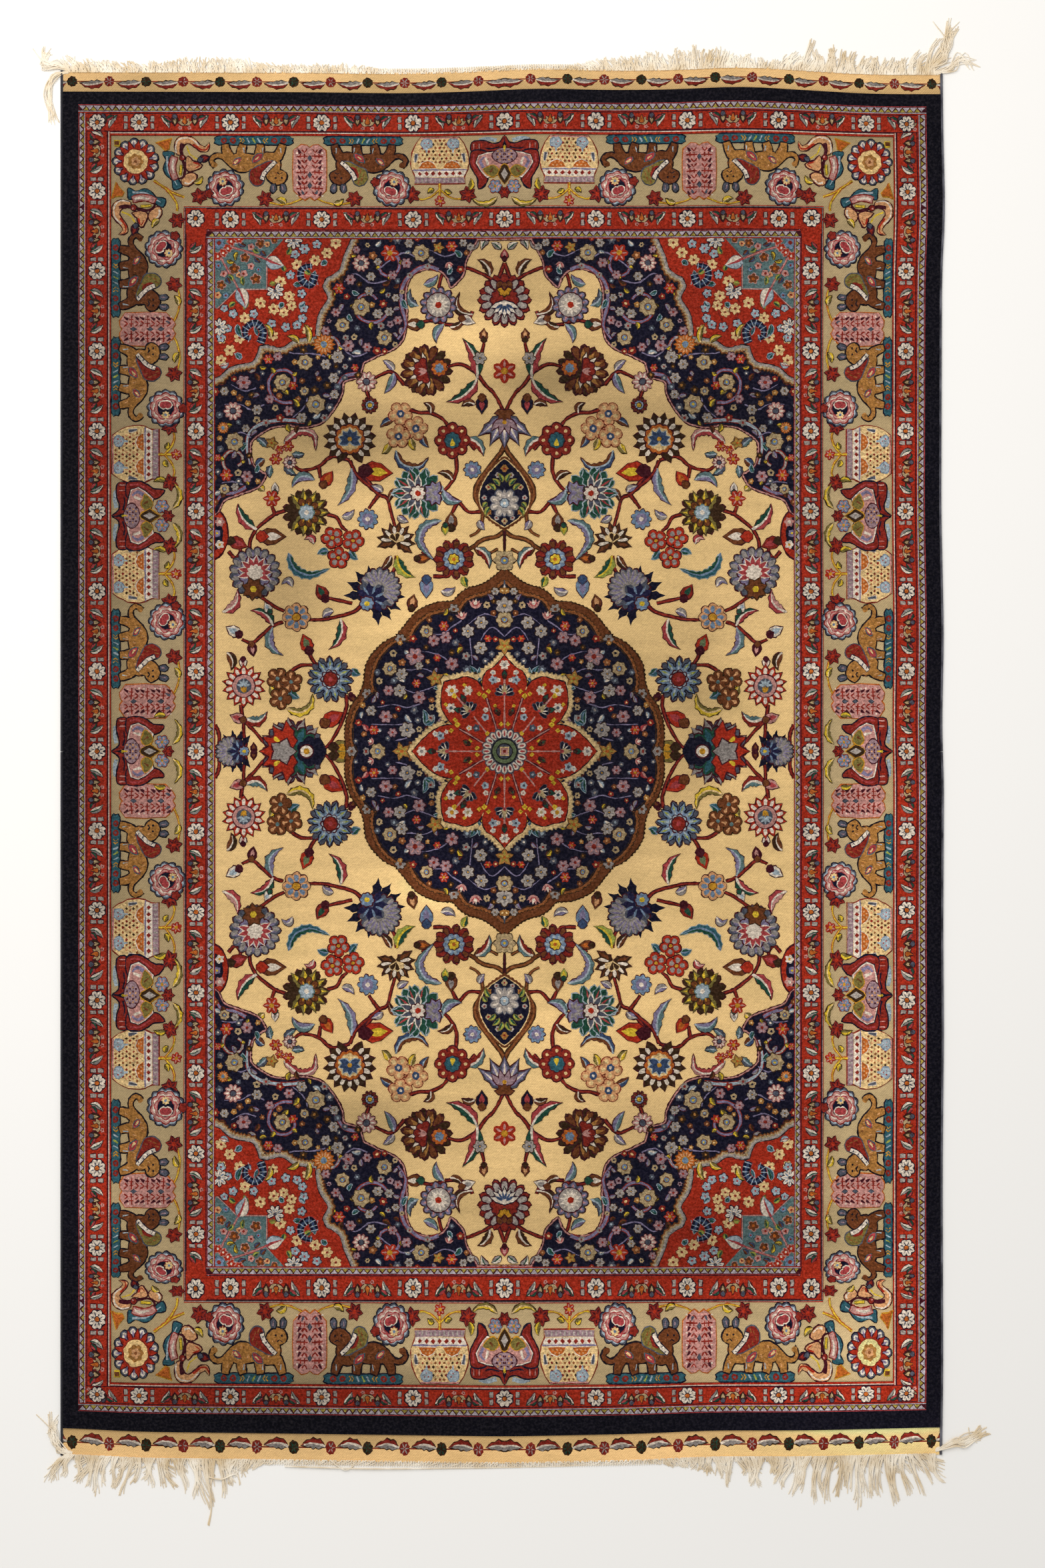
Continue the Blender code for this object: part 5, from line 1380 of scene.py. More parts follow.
def beast(drawing, spot, coat="ochre", mane="olive"):
    """A horned, winged animal standing on a plinth; u runs towards its head, v up from its feet."""
    plinth = [(-57, 8), (-54, 1.5), (0, 1.5), (54, 1.5), (57, 8), (54, 14.5), (0, 14.5), (-54, 14.5)]
    drawing.shape(blob(spot, plinth), "sea", "navy", 1.6)
    for u in (-45, -31, 31, 45):
        dotAt(drawing, spot, u, 8, 5, "brick", 8)
        dotAt(drawing, spot, u, 8, 2, "slate", 5)
    for u, turn in ((-18, 1), (18, -1)):
        for shift in (0, 4):
            hook = [(u - turn * (3 - shift), 4), (u + turn * shift, 8), (u - turn * (3 - shift), 12)]
            drawing.shape(tube(spot, hook, 1.6), "gold")
    for u in (-8, 0, 8):
        drawing.shape(tube(spot, [(u - 2, 4), (u + 2, 12)], 2.2), "ice" if u else "lime")
    drawing.shapes([
        tube(spot, [(-59, 51), (-64, 42), (-58, 34), (-49, 34), (-41, 40), (-34, 49)], 6),
        tube(spot, [(-31, 44), (-40, 29), (-43, 15)], 14, 0.65), tube(spot, [(-18, 40), (-19, 27), (-16, 15)], 13, 0.75),
        tube(spot, [(6, 40), (9, 27), (10, 15)], 13, 0.75), tube(spot, [(25, 47), (38, 30), (43, 15)], 15, 0.6),
        blob(spot, [(-37, 49), (-27, 58), (-16, 61), (-5, 58), (8, 54), (20, 50), (34, 45), (38, 38), (32, 30),
                    (20, 28), (8, 33), (-4, 31), (-16, 30), (-28, 31), (-37, 38)]),
        blob(spot, [(19, 69), (27, 79), (37, 82), (46, 77), (50, 67), (45, 60), (39, 57), (40, 46), (36, 39),
                    (28, 45), (22, 58)]),
    ], coat, "dark", 2.2)
    dotAt(drawing, spot, -59, 49, 5, coat, 8)
    light, deep = ("peach", "bark") if coat == "ochre" else ("bark", "umber")
    for u, v, reach in ((-28, 50, 6), (-20, 54, 5), (-33, 44, 5), (-10, 40, 6), (0, 44, 6), (14, 38, 5), (-40, 26, 5),
                        (-18, 26, 5), (9, 26, 5), (37, 30, 5), (28, 64, 5), (36, 50, 6), (-24, 38, 5), (22, 42, 5)):
        drawing.shape(tube(spot, [(u, v - reach / 2), (u + 2, v + reach / 2)], 1.9, 0.5), light)
        drawing.shape(tube(spot, [(u + 5, v - reach / 2), (u + 6, v + reach / 2)], 1.7, 0.5), deep)
    for u, v in ((33, 71), (42, 71)):
        dotAt(drawing, spot, u, v, 2.0, "dark", 5)
    drawing.shape(tube(spot, [(35, 62), (39, 65), (43, 62)], 1.8), "dark")
    drawing.shape(blob(spot, [(-6, 65), (-6, 73), (-1, 81), (6, 84), (13, 80), (16, 70), (18, 61), (24, 52), (31, 44), (22, 44),
                              (10, 50), (2, 54), (-4, 58)]), mane, "slate", 1.6)
    for u, v in ((-2, 66), (1, 74), (6, 78), (3, 60), (9, 55)):
        drawing.shape(tube(spot, [(u, v - 4), (u + 2, v + 3)], 1.6, 0.6), "bark")
    drawing.shape(blob(spot, [(7, 70), (12, 73), (14, 63), (20, 53), (13, 53), (8, 60)]), "brick")
    drawing.shape(tube(spot, [(12, 74), (16, 63), (24, 53), (33, 44)], 5.6, 0.9), "white", "navy", 1.3)
    for k in range(4):
        drawing.shape(tube(spot, [(12.5 + 5 * k, 68 - 7.6 * k), (15.5 + 5 * k, 70 - 7.6 * k)], 1.4), "slate")
    for points in ([(27, 82), (25, 92), (29, 97), (34, 90), (32, 82)], [(41, 82), (40, 92), (45, 97), (49, 92), (46, 82)]):
        drawing.shape(blob(spot, points), "slate", "dark", 1.5)
        drawing.shape(tube(spot, [(points[0][0] + 2, 85), (points[0][0] + 2.5, 92)], 2, 0.5), "mauve")
    for u, v, size in ((-26, 43, 1.0), (5, 37, 1.3)):
        drop = [(u - 5 * size, v + 6 * size), (u + 4 * size, v + 2 * size), (u + 6 * size, v - 5 * size), (u - 2 * size, v - 3 * size)]
        drawing.shape(blob(spot, drop), "rose", "sea", 1.2)
        drawing.shape(tube(spot, [(u - 3, v + 3), (u + 3, v - 2)], 3, 0.6), "ivory")
    for u, v in ((-15, 24), (13, 24), (40, 24)):
        drawing.shape(tube(spot, [(u, v - 4), (u + 1, v + 5)], 1.8, 0.5), "ice")


def cartouche(drawing, spot, vines=(-1, 1)):
    """A pink panel with a made-up, mirrored ornament of bars, leaves and drops, and its gold vines."""
    outline = [(-24, 24), (-12, 15), (-5, 16), (0, 20), (5, 16), (12, 15), (24, 24), (25, 58), (24, 92), (14, 103),
               (7, 108), (0, 103), (-7, 108), (-14, 103), (-24, 92), (-25, 58)]
    for side in vines:
        line = [spot(side * u, v) for u, v in ((10, 105), (24, 112), (42, 116), (58, 113), (66, 110))]
        drawing.stem(line, 3.2, "orange", 1, core="yellow")
        foot, tip = spot(side * 36, 114), spot(side * 50, 107)
        drawing.leaf(foot.real, foot.imag, tip.real, tip.imag, 8, "gold")
        at = spot(side * 67, 106)
        drawing.bloom(at.real, at.imag, 12, 70 * side, flowers["borderFlower"])
    drawing.shape([spot(u, v) for u, v in outline], "pink", "orange", 1.8)
    for side in (-1, 1):
        for row, v in enumerate(range(25, 99, 9)):
            if row % 3 == 1:
                drawing.shape(tube(spot, [(side * 3, v), (side * 20, v + 1)], 2.0), "brick")
                for u in (8, 14):
                    drawing.shape(tube(spot, [(side * u, v - 4), (side * u, v + 4)], 1.8), "brick")
            else:
                drawing.shape(tube(spot, [(side * 4, v - 3), (side * 8, v + 3), (side * 12, v - 2)], 2.2), "brick")
                drawing.shape(tube(spot, [(side * 14, v + 4), (side * 18, v - 3)], 4.2, 0.3), "wine")
                dotAt(drawing, spot, side * 19, v + 4, 1.6, "white", 4)
        drawing.shape(tube(spot, [(side * 9, 99), (side * 12, 92)], 4, 0.4), "slate")
    for v in (38, 66, 84):
        drawing.shape([spot(u, v + w) for u, w in ((-3, 0), (0, -5), (3, 0), (0, 5))], "slate", "dark", 0.8)


def vase(drawing, spot):
    half = [(29, 3), (35, 13), (41, 28), (43, 47), (41, 57), (36, 69), (38, 80)]
    drawing.shape([spot(u, v) for u, v in half + [(-u, v) for u, v in reversed(half)]], "ivory", "brick", 1.8)
    speckles = ("brick", "bark", "peach", "umber")
    for row in range(7):
        for k in range(-6, 7):
            u, v = 6.4 * k + (3.2 if row % 2 else 0), 8 + 6.0 * row
            if abs(u) < 24 + v * 0.32:
                drawing.shape([spot(u + a, v + b) for a, b in ((-2.2, 0), (0, -2.6), (2.2, 0), (0, 2.6))],
                              speckles[(row * 2 + abs(k)) % 4])
    for side in (-1, 1):
        drawing.shape([spot(side * u, v) for u, v in ((5, 55), (32, 55), (27, 46), (18, 42), (10, 46))], "orange", "white", 1.3)
        for u, v in ((12, 51), (18, 51), (24, 51), (15, 46.5), (21, 46.5)):
            dotAt(drawing, spot, side * u, v, 1.9, "peach", 4)
        drawing.shape([spot(side * 20 + 9 * p.real, 13 + 9 * p.imag) for p in scallop(5, 0.25, 3)], "ice", "sky", 1.2)
        drawing.shape(tube(spot, [(side * 20, 14), (side * 20, 29)], 4.5, 0.3), "ice")
        for u, v in ((17, 12), (23, 12), (20, 17)):
            dotAt(drawing, spot, side * u, v, 1.2, "red", 4)
        drawing.shape(tube(spot, [(side * 35, 30), (side * 37, 44)], 4.4, 0.4), "slate", "white", 1)
    drawing.shape([spot(u, v) for u, v in ((-40, 58), (40, 58), (36, 69), (-36, 69))], "white")
    drawing.shape(tube(spot, [(-41, 57.5), (41, 57.5)], 2), "lilac")
    for k in range(-3, 4):
        drawing.shape([spot(10 * k + a, 63.5 + b) for a, b in ((-3.4, 0), (0, -4), (3.4, 0), (0, 4))], "brick")
    drawing.shape([spot(u, v) for u, v in ((-36, 70), (36, 70), (38, 80), (-38, 80))], "mauve")
    for k in range(-5, 6):
        drawing.shape(tube(spot, [(6.6 * k, 72), (6.6 * k, 78)], 2.6, 0.7), "chalk")
    drawing.shape(tube(spot, [(-29, 3.5), (29, 3.5)], 2.2), "pink")
    drawing.stem([spot(0, 80), spot(0, 104)], 4.6, "orange", 1, core="yellow")
    for side in (-1, 1):
        drawing.stem([spot(0, 90), spot(side * 14, 103), spot(side * 28, 107), spot(side * 38, 103)], 3.4, "orange", 0.9,
                     core="yellow")
        at = spot(side * 42, 99)
        drawing.bloom(at.real, at.imag, 12.5, 40 * side, flowers["borderFlower"])
        foot, tip = spot(side * 9, 91), spot(side * 18, 96)
        drawing.leaf(foot.real, foot.imag, tip.real, tip.imag, 7, "gold")
    at = spot(0, 110)
    drawing.bloom(at.real, at.imag, 9, 20, flowers["redBloom"])


def lotus(drawing, spot):
    for side in (-1, 1):
        drawing.shape(tube(spot, [(side * 12, 9), (side * 24, 6), (side * 38, 8)], 6), "ice")
        for points in (
            [(0, 2), (6, 12), (15, 15), (32, 10), (48, 12), (49, 26), (36, 28), (17, 28), (4, 20)],
            [(48, 27), (51, 47), (46, 61), (40, 71), (38, 89), (28, 80), (26, 69), (34, 60), (42, 49), (41, 36), (28, 28)],
        ):
            drawing.shape(blob(spot, [(side * u, v) for u, v in points]), "brick", "navy", 2)
        for k in range(4):
            drawing.shape(tube(spot, [(side * (34 + 4 * k), 14), (side * (34 + 4 * k), 24)], 1.7, 0.5), "pink" if k % 2 else "red")
        drawing.shape(tube(spot, [(side * 46, 32), (side * 47, 46), (side * 40, 60), (side * 32, 74)], 2.6, 0.4), "rose")
        drawing.shape(tube(spot, [(side * 8, 20), (side * 20, 23), (side * 30, 21)], 2.4, 0.5), "navy")
    half = [(26, 70), (36, 57), (41, 46), (38, 35), (26, 31), (14, 29)]
    heart = [spot(u, v) for u, v in half + [(0, 27)] + [(-u, v) for u, v in reversed(half)] + [(0, 62)]]
    drawing.shape(grow(heart, 2.8), "navy")
    drawing.shape(grow(heart, 1.6), "white")
    drawing.shape(heart, "pink")
    for side in (-1, 1):
        drawing.shape(tube(spot, [(side * 31, 55), (side * 36, 44), (side * 30, 36)], 5, 0.5), "lilac")
        drawing.shape(tube(spot, [(side * 25, 50), (side * 28, 38)], 4, 0.6), "white")
        patch = [(32, 57), (24, 67), (16, 70), (9, 60), (16, 51), (25, 54)]
        drawing.shape(blob(spot, [(side * u, v) for u, v in patch]), "olive", "gold", 1.4)
        drawing.shape(tube(spot, [(side * 22, 63), (side * 17, 55)], 3, 0.4), "brown")
        at = spot(side * 14, 86)
        drawing.bloom(at.real, at.imag, 10, 0, flowers["blueFlower"])
        drawing.blade(flow([spot(side * u, v) for u, v in ((11, 104), (22, 114), (36, 115), (48, 107))], 5), 9, "gold", 1)
        foot, tip = spot(side * 53, 92), spot(side * 51, 72)
        drawing.leaf(foot.real, foot.imag, tip.real, tip.imag, 7, "gold")
    drawing.shape(blob(spot, [(-15, 28), (-18, 37), (-10, 45), (0, 48), (10, 45), (18, 37), (15, 28), (0, 22)]), "mauve", "wine", 1.5)
    for k in range(5):
        for j in range(4):
            dotAt(drawing, spot, -10 + 5 * k + (j % 2) * 1.5, 27 + 5 * j, 1.7, "wine" if (k + j) % 2 else "peach", 5)
    drawing.shape(tube(spot, [(0, 18), (0, 27)], 3.4, 0.3), "yellow")
    drawing.shape([spot(u, v) for u, v in ((0, 83), (-10, 66), (-4, 52), (0, 49), (4, 52), (10, 66))], "umber", "gold", 1.5)
    drawing.shape([spot(u, v) for u, v in ((0, 76), (-5, 65), (0, 54), (5, 65))], "chalk")
    at = spot(0, 96)
    drawing.bloom(at.real, at.imag, 9, 0, flowers["borderFlower"])


def pinkRosette(drawing, x, y, turn=0):
    drawing.bloom(x, y, 27, turn, [
        ("disc", 13, 0, 1.04, 0.12, "slate", "navy"), ("disc", 13, 0, 0.96, 0.12, "ice", None),
        ("disc", 9, 0, 0.86, 0.14, "pink", "brick"), ("disc", 9, 0, 0.74, 0.14, "white", None),
        ("disc", 7, 0, 0.62, 0.16, "pink", "rose"),
        ("dot", 12, 0, 0.46, 0, "navy", "rose"), ("round", 3, 0.05, 0.5, 0.2, "navy", None, 150, 0),
        ("round", 2, 0.05, 0.44, 0.22, "rose", "white", 120, -0.02),
    ])
    spin = cmath.rect(1, math.radians(turn))
    at = complex(x, y) - spin * 10
    drawing.floret(at.real, at.imag, 6.5, "ivory", "sky", 8, rim="brick")
    at = complex(x, y) + spin * 26j
    drawing.shape([at + spin * p * 7 for p in scallop(5, 0.3)], "brick", "navy")


def sun(drawing, x, y):
    lumps = 13
    drawing.bloom(x, y, 34, 15, [
        ("dot", 26, 0, 0.9, 0, "navy", None), ("round", lumps, 0.5, 1.02, 0.2, "slate", "navy"),
        ("round", lumps, 0.52, 0.96, 0.13, "white", None), ("pointed", lumps, 0.6, 0.92, 0.05, "lilac", None),
    ])
    drawing.bloom(x, y, 34, 15 + 180 / lumps, [
        ("pointed", lumps, 0.4, 0.94, 0.1, "red", "wine"), ("disc", lumps, 0, 0.62, 0.1, "red", None),
        ("disc", 8, 0, 0.54, 0.05, "cream", "brick"), ("disc", 7, 0, 0.36, 0.2, "ochre", None),
        ("disc", 5, 0, 0.22, 0.3, "peach", None), ("dot", 6, 0, 0.08, 0, "bark", None),
    ])


def bird(drawing, spot):
    """A ribbon-tailed bird: v runs to the border's outer edge, u along the border."""
    back = [(-29, 16), (-24, 5), (-28, -8), (-23, -19), (-15, -25), (-13, -39), (-1, -36), (-6, -26), (-13, -18), (-18, -8),
            (-18, 3), (-13, 15)]
    drawing.shape(blob(spot, back), "sea", "navy", 1.8)
    drawing.shape(tube(spot, [(-23, 10), (-22, -10), (-13, -24), (-8, -33)], 3, 0.5), "ice")
    drawing.shape(tube(spot, [(-12, 9), (-15, -3), (-14, -14), (-10, -24)], 9, 0.8), "pink", "brick", 1.8)
    drawing.shape(tube(spot, [(-13, 6), (-15, -4), (-13, -15)], 3.4, 0.7), "white")
    wing = [(-8, 13), (-11, 28), (-5, 38), (8, 40), (18, 36), (26, 27), (34, 24), (40, 30), (38, 19), (28, 18), (18, 25),
            (8, 30), (1, 25), (-3, 13)]
    drawing.shape(blob(spot, wing), "peach", "wine", 1.8)
    drawing.shape(tube(spot, [(-9, 15), (-10, 28), (-4, 36), (8, 38), (17, 34), (25, 26)], 2.4, 0.8), "white")
    drawing.shape(tube(spot, [(16, 28), (28, 20), (37, 21), (40, 28)], 3, 0.5), "red")
    drawing.shape(blob(spot, [(8, 10), (15, 3), (29, -3), (20, -10), (9, -12), (6, -2)]), "peach", "wine", 2.2)
    drawing.shape(tube(spot, [(16, 1), (26, -3), (19, -8)], 2.2, 0.5), "red")
    drawing.shape(blob(spot, [(0, -25), (8, -16), (18, -16), (21, -23), (9, -34), (0, -31)]), "peach", "wine", 2)
    drawing.shape(tube(spot, [(3, -30), (10, -31), (17, -25)], 2.6, 0.6), "white")
    drawing.shape(tube(spot, [(0, 30), (-2, 18), (2, 0), (4, -12), (0, -22), (-7, -23)], 5.4, 0.7), "wine")
    drawing.shape(tube(spot, [(-2, -3), (-3, -18)], 3.6, 0.6), "yellow", "olive", 1.0)
    drawing.shape(tube(spot, [(6, 26), (12, 13), (25, 5)], 2.4, 0.7), "yellow")
    dotAt(drawing, spot, 0, 8, 5.6, "wine", 8)
    dotAt(drawing, spot, 0, 8, 4.2, "brick", 8)
    dotAt(drawing, spot, 1, 9, 1.6, "pink", 5)
    at, ahead = spot(33, 7), spot(43, 10)
    drawing.bud(at.real, at.imag, 9, math.degrees(cmath.phase(ahead - at)), "wine", "brick", "slate", "navy")
    foot, tip = spot(18, -30), spot(30, -20)
    drawing.leaf(foot.real, foot.imag, tip.real, tip.imag, 8, "gold")


def cornerPlants(drawing):
    """The gold branch from the sun to its two wine flowers, and the gold scraps in the corner."""
    for points in ([(526, 856), (508, 844), (494, 836), (480, 831)], [(508, 844), (498, 832), (491, 820), (491, 810)]):
        drawing.stem([complex(*p) for p in points], 4.4, "orange", 0.8, core="yellow")
    for x, y, turn in ((458, 832, 20), (491, 796, 60)):
        drawing.bloom(x, y, 12, turn, flowers["borderFlower"])
    for swapped in (False, True):
        scrap = [(-29, 29), (-55, 36), (-51, 31), (-50, 20), (-45, 18), (-38, 25)]
        turned = [complex(v, u) if swapped else complex(u, v) for u, v in scrap]
        drawing.shape([complex(553, 883) + p for p in turned], "orange", "gold", 1.6)
    drawing.shape([complex(581, 912) + 5 * p for p in ring(1, 4)], "brown", "yellow", 2)


def standOnSide(centre, facing=1):
    return lambda u, v: complex(borders["sideLines"] - v * borders["figureScale"], centre + facing * u)


def standOnEnd(centre, facing=1):
    return lambda u, v: complex(centre + facing * u, borders["endLines"] - v * borders["figureScale"])


def drawSideFigures(drawing):
    for centre, vines in ((633, (-1, 1)), (75, (1,))):
        cartouche(drawing, standOnSide(centre), vines)
    for centre, facing in ((710, -1), (562, 1), (154, -1)):
        coat, mane = ("brown", "olive") if centre == 710 else ("ochre", "brick")
        beast(drawing, standOnSide(centre, facing), coat, mane)
    for centre in (445, 266):
        vase(drawing, standOnSide(centre))
    for centre in (353, 0):
        lotus(drawing, standOnSide(centre))
    for x, y, turn in ((511, 753, 40), (508, 514, 90), (506, 195, 30)):
        pinkRosette(drawing, x, y, turn)
    bird(drawing, lambda u, v: complex(548 + v, 815 - u))
    cornerPlants(drawing)


def drawEndFigures(drawing):
    cartouche(drawing, standOnEnd(292))
    beast(drawing, standOnEnd(376, -1), "ochre", "brick")
    beast(drawing, standOnEnd(212, 1), "brown", "olive")
    vase(drawing, standOnEnd(97))
    lotus(drawing, standOnEnd(0))
    for x, y, turn in ((419, 845, 250), (169, 845, 290)):
        pinkRosette(drawing, x, y, turn)
    bird(drawing, lambda u, v: complex(483 - u, 882 + v))
    bird(drawing, lambda u, v: complex(548 + v, 815 - u))
    cornerPlants(drawing)
    sun(drawing, 553, 884)


def drawKilim():
    start, end, side = rug["pileEnd"], rug["clothEnd"], rug["halfWidth"]
    drawing = Drawing(blockRegion(0, side, start, end), "kilim", flat=True, seed=14)
    spot = alongEnd(start)
    strip(drawing, spot, -12, side + 2, 0, 13, "kilimInner", flat=True)
    strip(drawing, spot, -12, side + 2, 14.8, 16.4, "brick")
    for k in range(12):
        place = 39 + k * 55.4
        foot, tip = spot(place + 8, 15), spot(place + 45, 14)
        drawing.leaf(foot.real, foot.imag, tip.real, tip.imag, 13, "kilimLeaf", -0.1, 1)
        dye, heart = ("umber", "leaf") if k % 2 else ("brick", "chalk")
        drawing.shape([spot(place, 15.6) + p * 8.2 for p in scallop(9, 0.1, 2)], dye)
        drawing.shapes([[spot(place, 15.6) + 7 * cmath.rect(1, math.tau * j / 6) * p for p in petal(0.2, 1, 0.1, "pointed")]
                        for j in range(6)], heart)
    foot, tip = spot(-9, 15), spot(28, 14)
    drawing.leaf(foot.real, foot.imag, tip.real, tip.imag, 13, "kilimLeaf", -0.1, 1)
    return drawing


# what draws each piece, its grid step, its two heights, and its flat sizes at the top and the bottom
drawings = {
    "field": (drawField, 26, rug["groundHeight"], rug["pileHeight"], ((0.434, 0.768), (0.434, 0.772))),
    "innerSide": (drawInnerSide, 40, rug["groundHeight"], rug["pileHeight"], ((0.044, 0.814), (0.044, 0.823))),
    "innerEnd": (drawInnerEnd, 40, rug["groundHeight"], rug["pileHeight"], ((0.434, 0.046), (0.434, 0.051))),
    "sideBorder": (drawSideBorder, 40, rug["groundHeight"], rug["pileHeight"], ((0.184, 0.814), (0.184, 0.823))),
    "endBorder": (drawEndBorder, 40, rug["groundHeight"], rug["pileHeight"], ((0.662, 0.175), (0.662, 0.199))),
    "kilim": (drawKilim, 40, rug["kilimHeight"], rug["kilimHeight"] + 0.4, ((0.662, 0.031), (0.662, 0.041))),
}
for part, (draw, gridStep, flatHeight, highest, flatSizes) in drawings.items():
    drawing = draw()
    sheet = settle(drawing, gridStep, flatHeight, highest)
    print(part, "drawn:", len(drawing.loops), "shapes,", len(sheet["corners"]), "faces in a quarter")
    for name, sides in quarters.items():
        lower = sideBottom if part == "sideBorder" else bandsBottom
        piece = clothPiece(part + "." + name, sheet, sides, (pile, ground), lower)
        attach(piece, "root")
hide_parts("rug")


# Loose yarns. Each is drawn as a line of points; Geometry Nodes turn the lines into round yarns.

fringe = {
    "yarnRadius": 1.05, "tipShare": 0.6, "sides": 4, "yarnsPerPlace": 16, "shortYarns": 8, "places": 118,
    "combPitch": 3.6, "combReach": 8.5, "combRadius": 1.15,
}
# place along the end, reach of the yarns, lean
topFringe = [
    (-640, 28, -10), (-560, 18, -3), (-447, 27, 2), (-397, 30, 4), (-347, 17, 2), (-247, 19, 0), (-150, 7, 0),
    (100, 6, 0), (153, 24, 4), (203, 29, 6), (303, 41, 4), (403, 16, 2), (453, 54, 8), (503, 42, 6), (553, 34, 6),
    (603, 30, 10), (640, 60, 22),
]
bottomFringe = [
    (-640, 46, -10), (-597, 74, -6), (-547, 66, 0), (-497, 46, 3), (-447, 96, 6), (-397, 38, 6), (-347, 9, 0),
    (200, 6, 0), (253, 18, 0), (303, 32, 4), (353, 56, 6), (403, 44, 4), (453, 80, 4), (503, 76, 0), (553, 104, 2),
    (603, 72, 8), (640, 60, 20),
]


def clothEdge(x, end):
    edge = pullWoven(np.array([float(x)]), np.array([float(end * rug["clothEnd"])]))
    return complex(edge[0][0], edge[1][0])


def yarnLines(table, end, sideRange, seed):
    """Lines of points in millimetres from the rug's axes; where the yarns are long they hang in locks."""
    rng = random.Random(seed)
    lines = []
    lean = 0.0
    for place in np.linspace(-650, 650, fringe["places"]):
        lean = 0.8 * lean + rng.gauss(0, 3.2)
        if not sideRange[0] <= place < sideRange[1]:
            continue
        reach = np.interp(place, [row[0] for row in table], [row[1] for row in table])
        drift = np.interp(place, [row[0] for row in table], [row[2] for row in table]) + lean
        inLock = min(1.0, max(0.0, (reach - 26) / 20))
        full = reach * rng.uniform(0.78 - 0.2 * inLock, 1.1)
        swing, phase, turns = rng.uniform(1.5, 5) * inLock, rng.uniform(0, math.tau), rng.uniform(3, 6)
        for index in range(round(np.interp(reach, (8, 12, 40), (3, 7, fringe["yarnsPerPlace"])))):
            start = clothEdge(place, end) - end * 2j
            offset = rng.uniform(-6, 6)
            length = max(8, full * rng.uniform(0.7 + 0.12 * inLock, 1.04))
            if index < fringe["shortYarns"]:
                length = min(length, rng.uniform(12, 34))
            aside = drift + rng.gauss(0, (2 + reach * 0.09) * (1 - 0.75 * inLock))
            height = rng.uniform(1.2, 4.0)
            steps = max(3, round(length / 7))
            shiver, own = rng.uniform(0.5, 2.6 - 1.6 * inLock), rng.uniform(0, math.tau)
            line = []
            for k in range(steps + 1):
                t = k / steps
                sway = swing * (math.sin(phase + turns * t) - math.sin(phase)) + shiver * (math.sin(own + 5 * t) - math.sin(own))
                spread = offset * (1 - 0.72 * inLock * min(1, 2.5 * t) * (1 - 0.4 * t))
                point = start + complex(spread + aside * t**1.5 + sway, end * length * (t - 0.12 * t**4))
                line.append((point.real, point.imag, 0.7 + height * (1 - t) ** 0.7 * 0.8))
            lines.append(line)
    return lines


def combLines(end, sideRange):
    """The short even row of warp ends right at the cloth's edge."""
    lines = []
    for x in np.arange(-655, 655, fringe["combPitch"]):
        if sideRange[0] <= x < sideRange[1]:
            start = clothEdge(x, end) - end * 2j
            lines.append([(start.real + 0.2 * k, start.imag + end * fringe["combReach"] * k / 3, 1.3) for k in range(4)])
    return lines


# The loose corner tufts and the one long yarn: how many yarns, spread, and the line they follow
topTufts = [
    (26, 4, [(-655, 1022), (-672, 1030), (-690, 1032), (-688, 1048)]), (16, 3, [(-655, 1018), (-676, 1012), (-684, 985), (-678, 946)]),
    (24, 6, [(640, 1026), (660, 1042), (664, 1064), (672, 1086)]), (16, 4, [(648, 1016), (668, 1022), (684, 1038), (700, 1030)]),
]
bottomTufts = [
    (22, 5, [(-652, -1052), (-668, -1044), (-676, -1020), (-678, -1002)]), (18, 5, [(-655, -1056), (-672, -1068), (-680, -1090)]),
    (4, 0.8, [(-446, -1064), (-446, -1090), (-440, -1130), (-444, -1160)]), (3, 0.8, [(-444, -1088), (-425, -1092), (-402, -1084), (-396, -1100)]),
    (2, 0.5, [(-330, -1072), (-200, -1076), (-60, -1075), (60, -1074), (120, -1070)]),
    (34, 4, [(648, -1048), (676, -1036), (694, -1034), (716, -1020)]), (3, 0.6, [(-262, -1062), (-240, -1078), (-226, -1070), (-230, -1058)]),
]


def tuftLines(tufts, sideRange, seed):
    rng = random.Random(seed)
    lines = []
    for count, spread, points in tufts:
        if not sideRange[0] <= points[0][0] < sideRange[1]:
            continue
        for _ in range(count):
            path = [complex(x, y) + complex(rng.gauss(0, spread), rng.gauss(0, spread)) * (0.3 + 0.35 * k)
                    for k, (x, y) in enumerate(points)]
            path = flow(path, 6)
            lift = rng.uniform(0.4, 3.4)
            lines.append([(p.real, p.imag, 0.8 + lift * math.sin(math.pi * min(1, k / len(path) + 0.2)))
                          for k, p in enumerate(path)])
    return lines


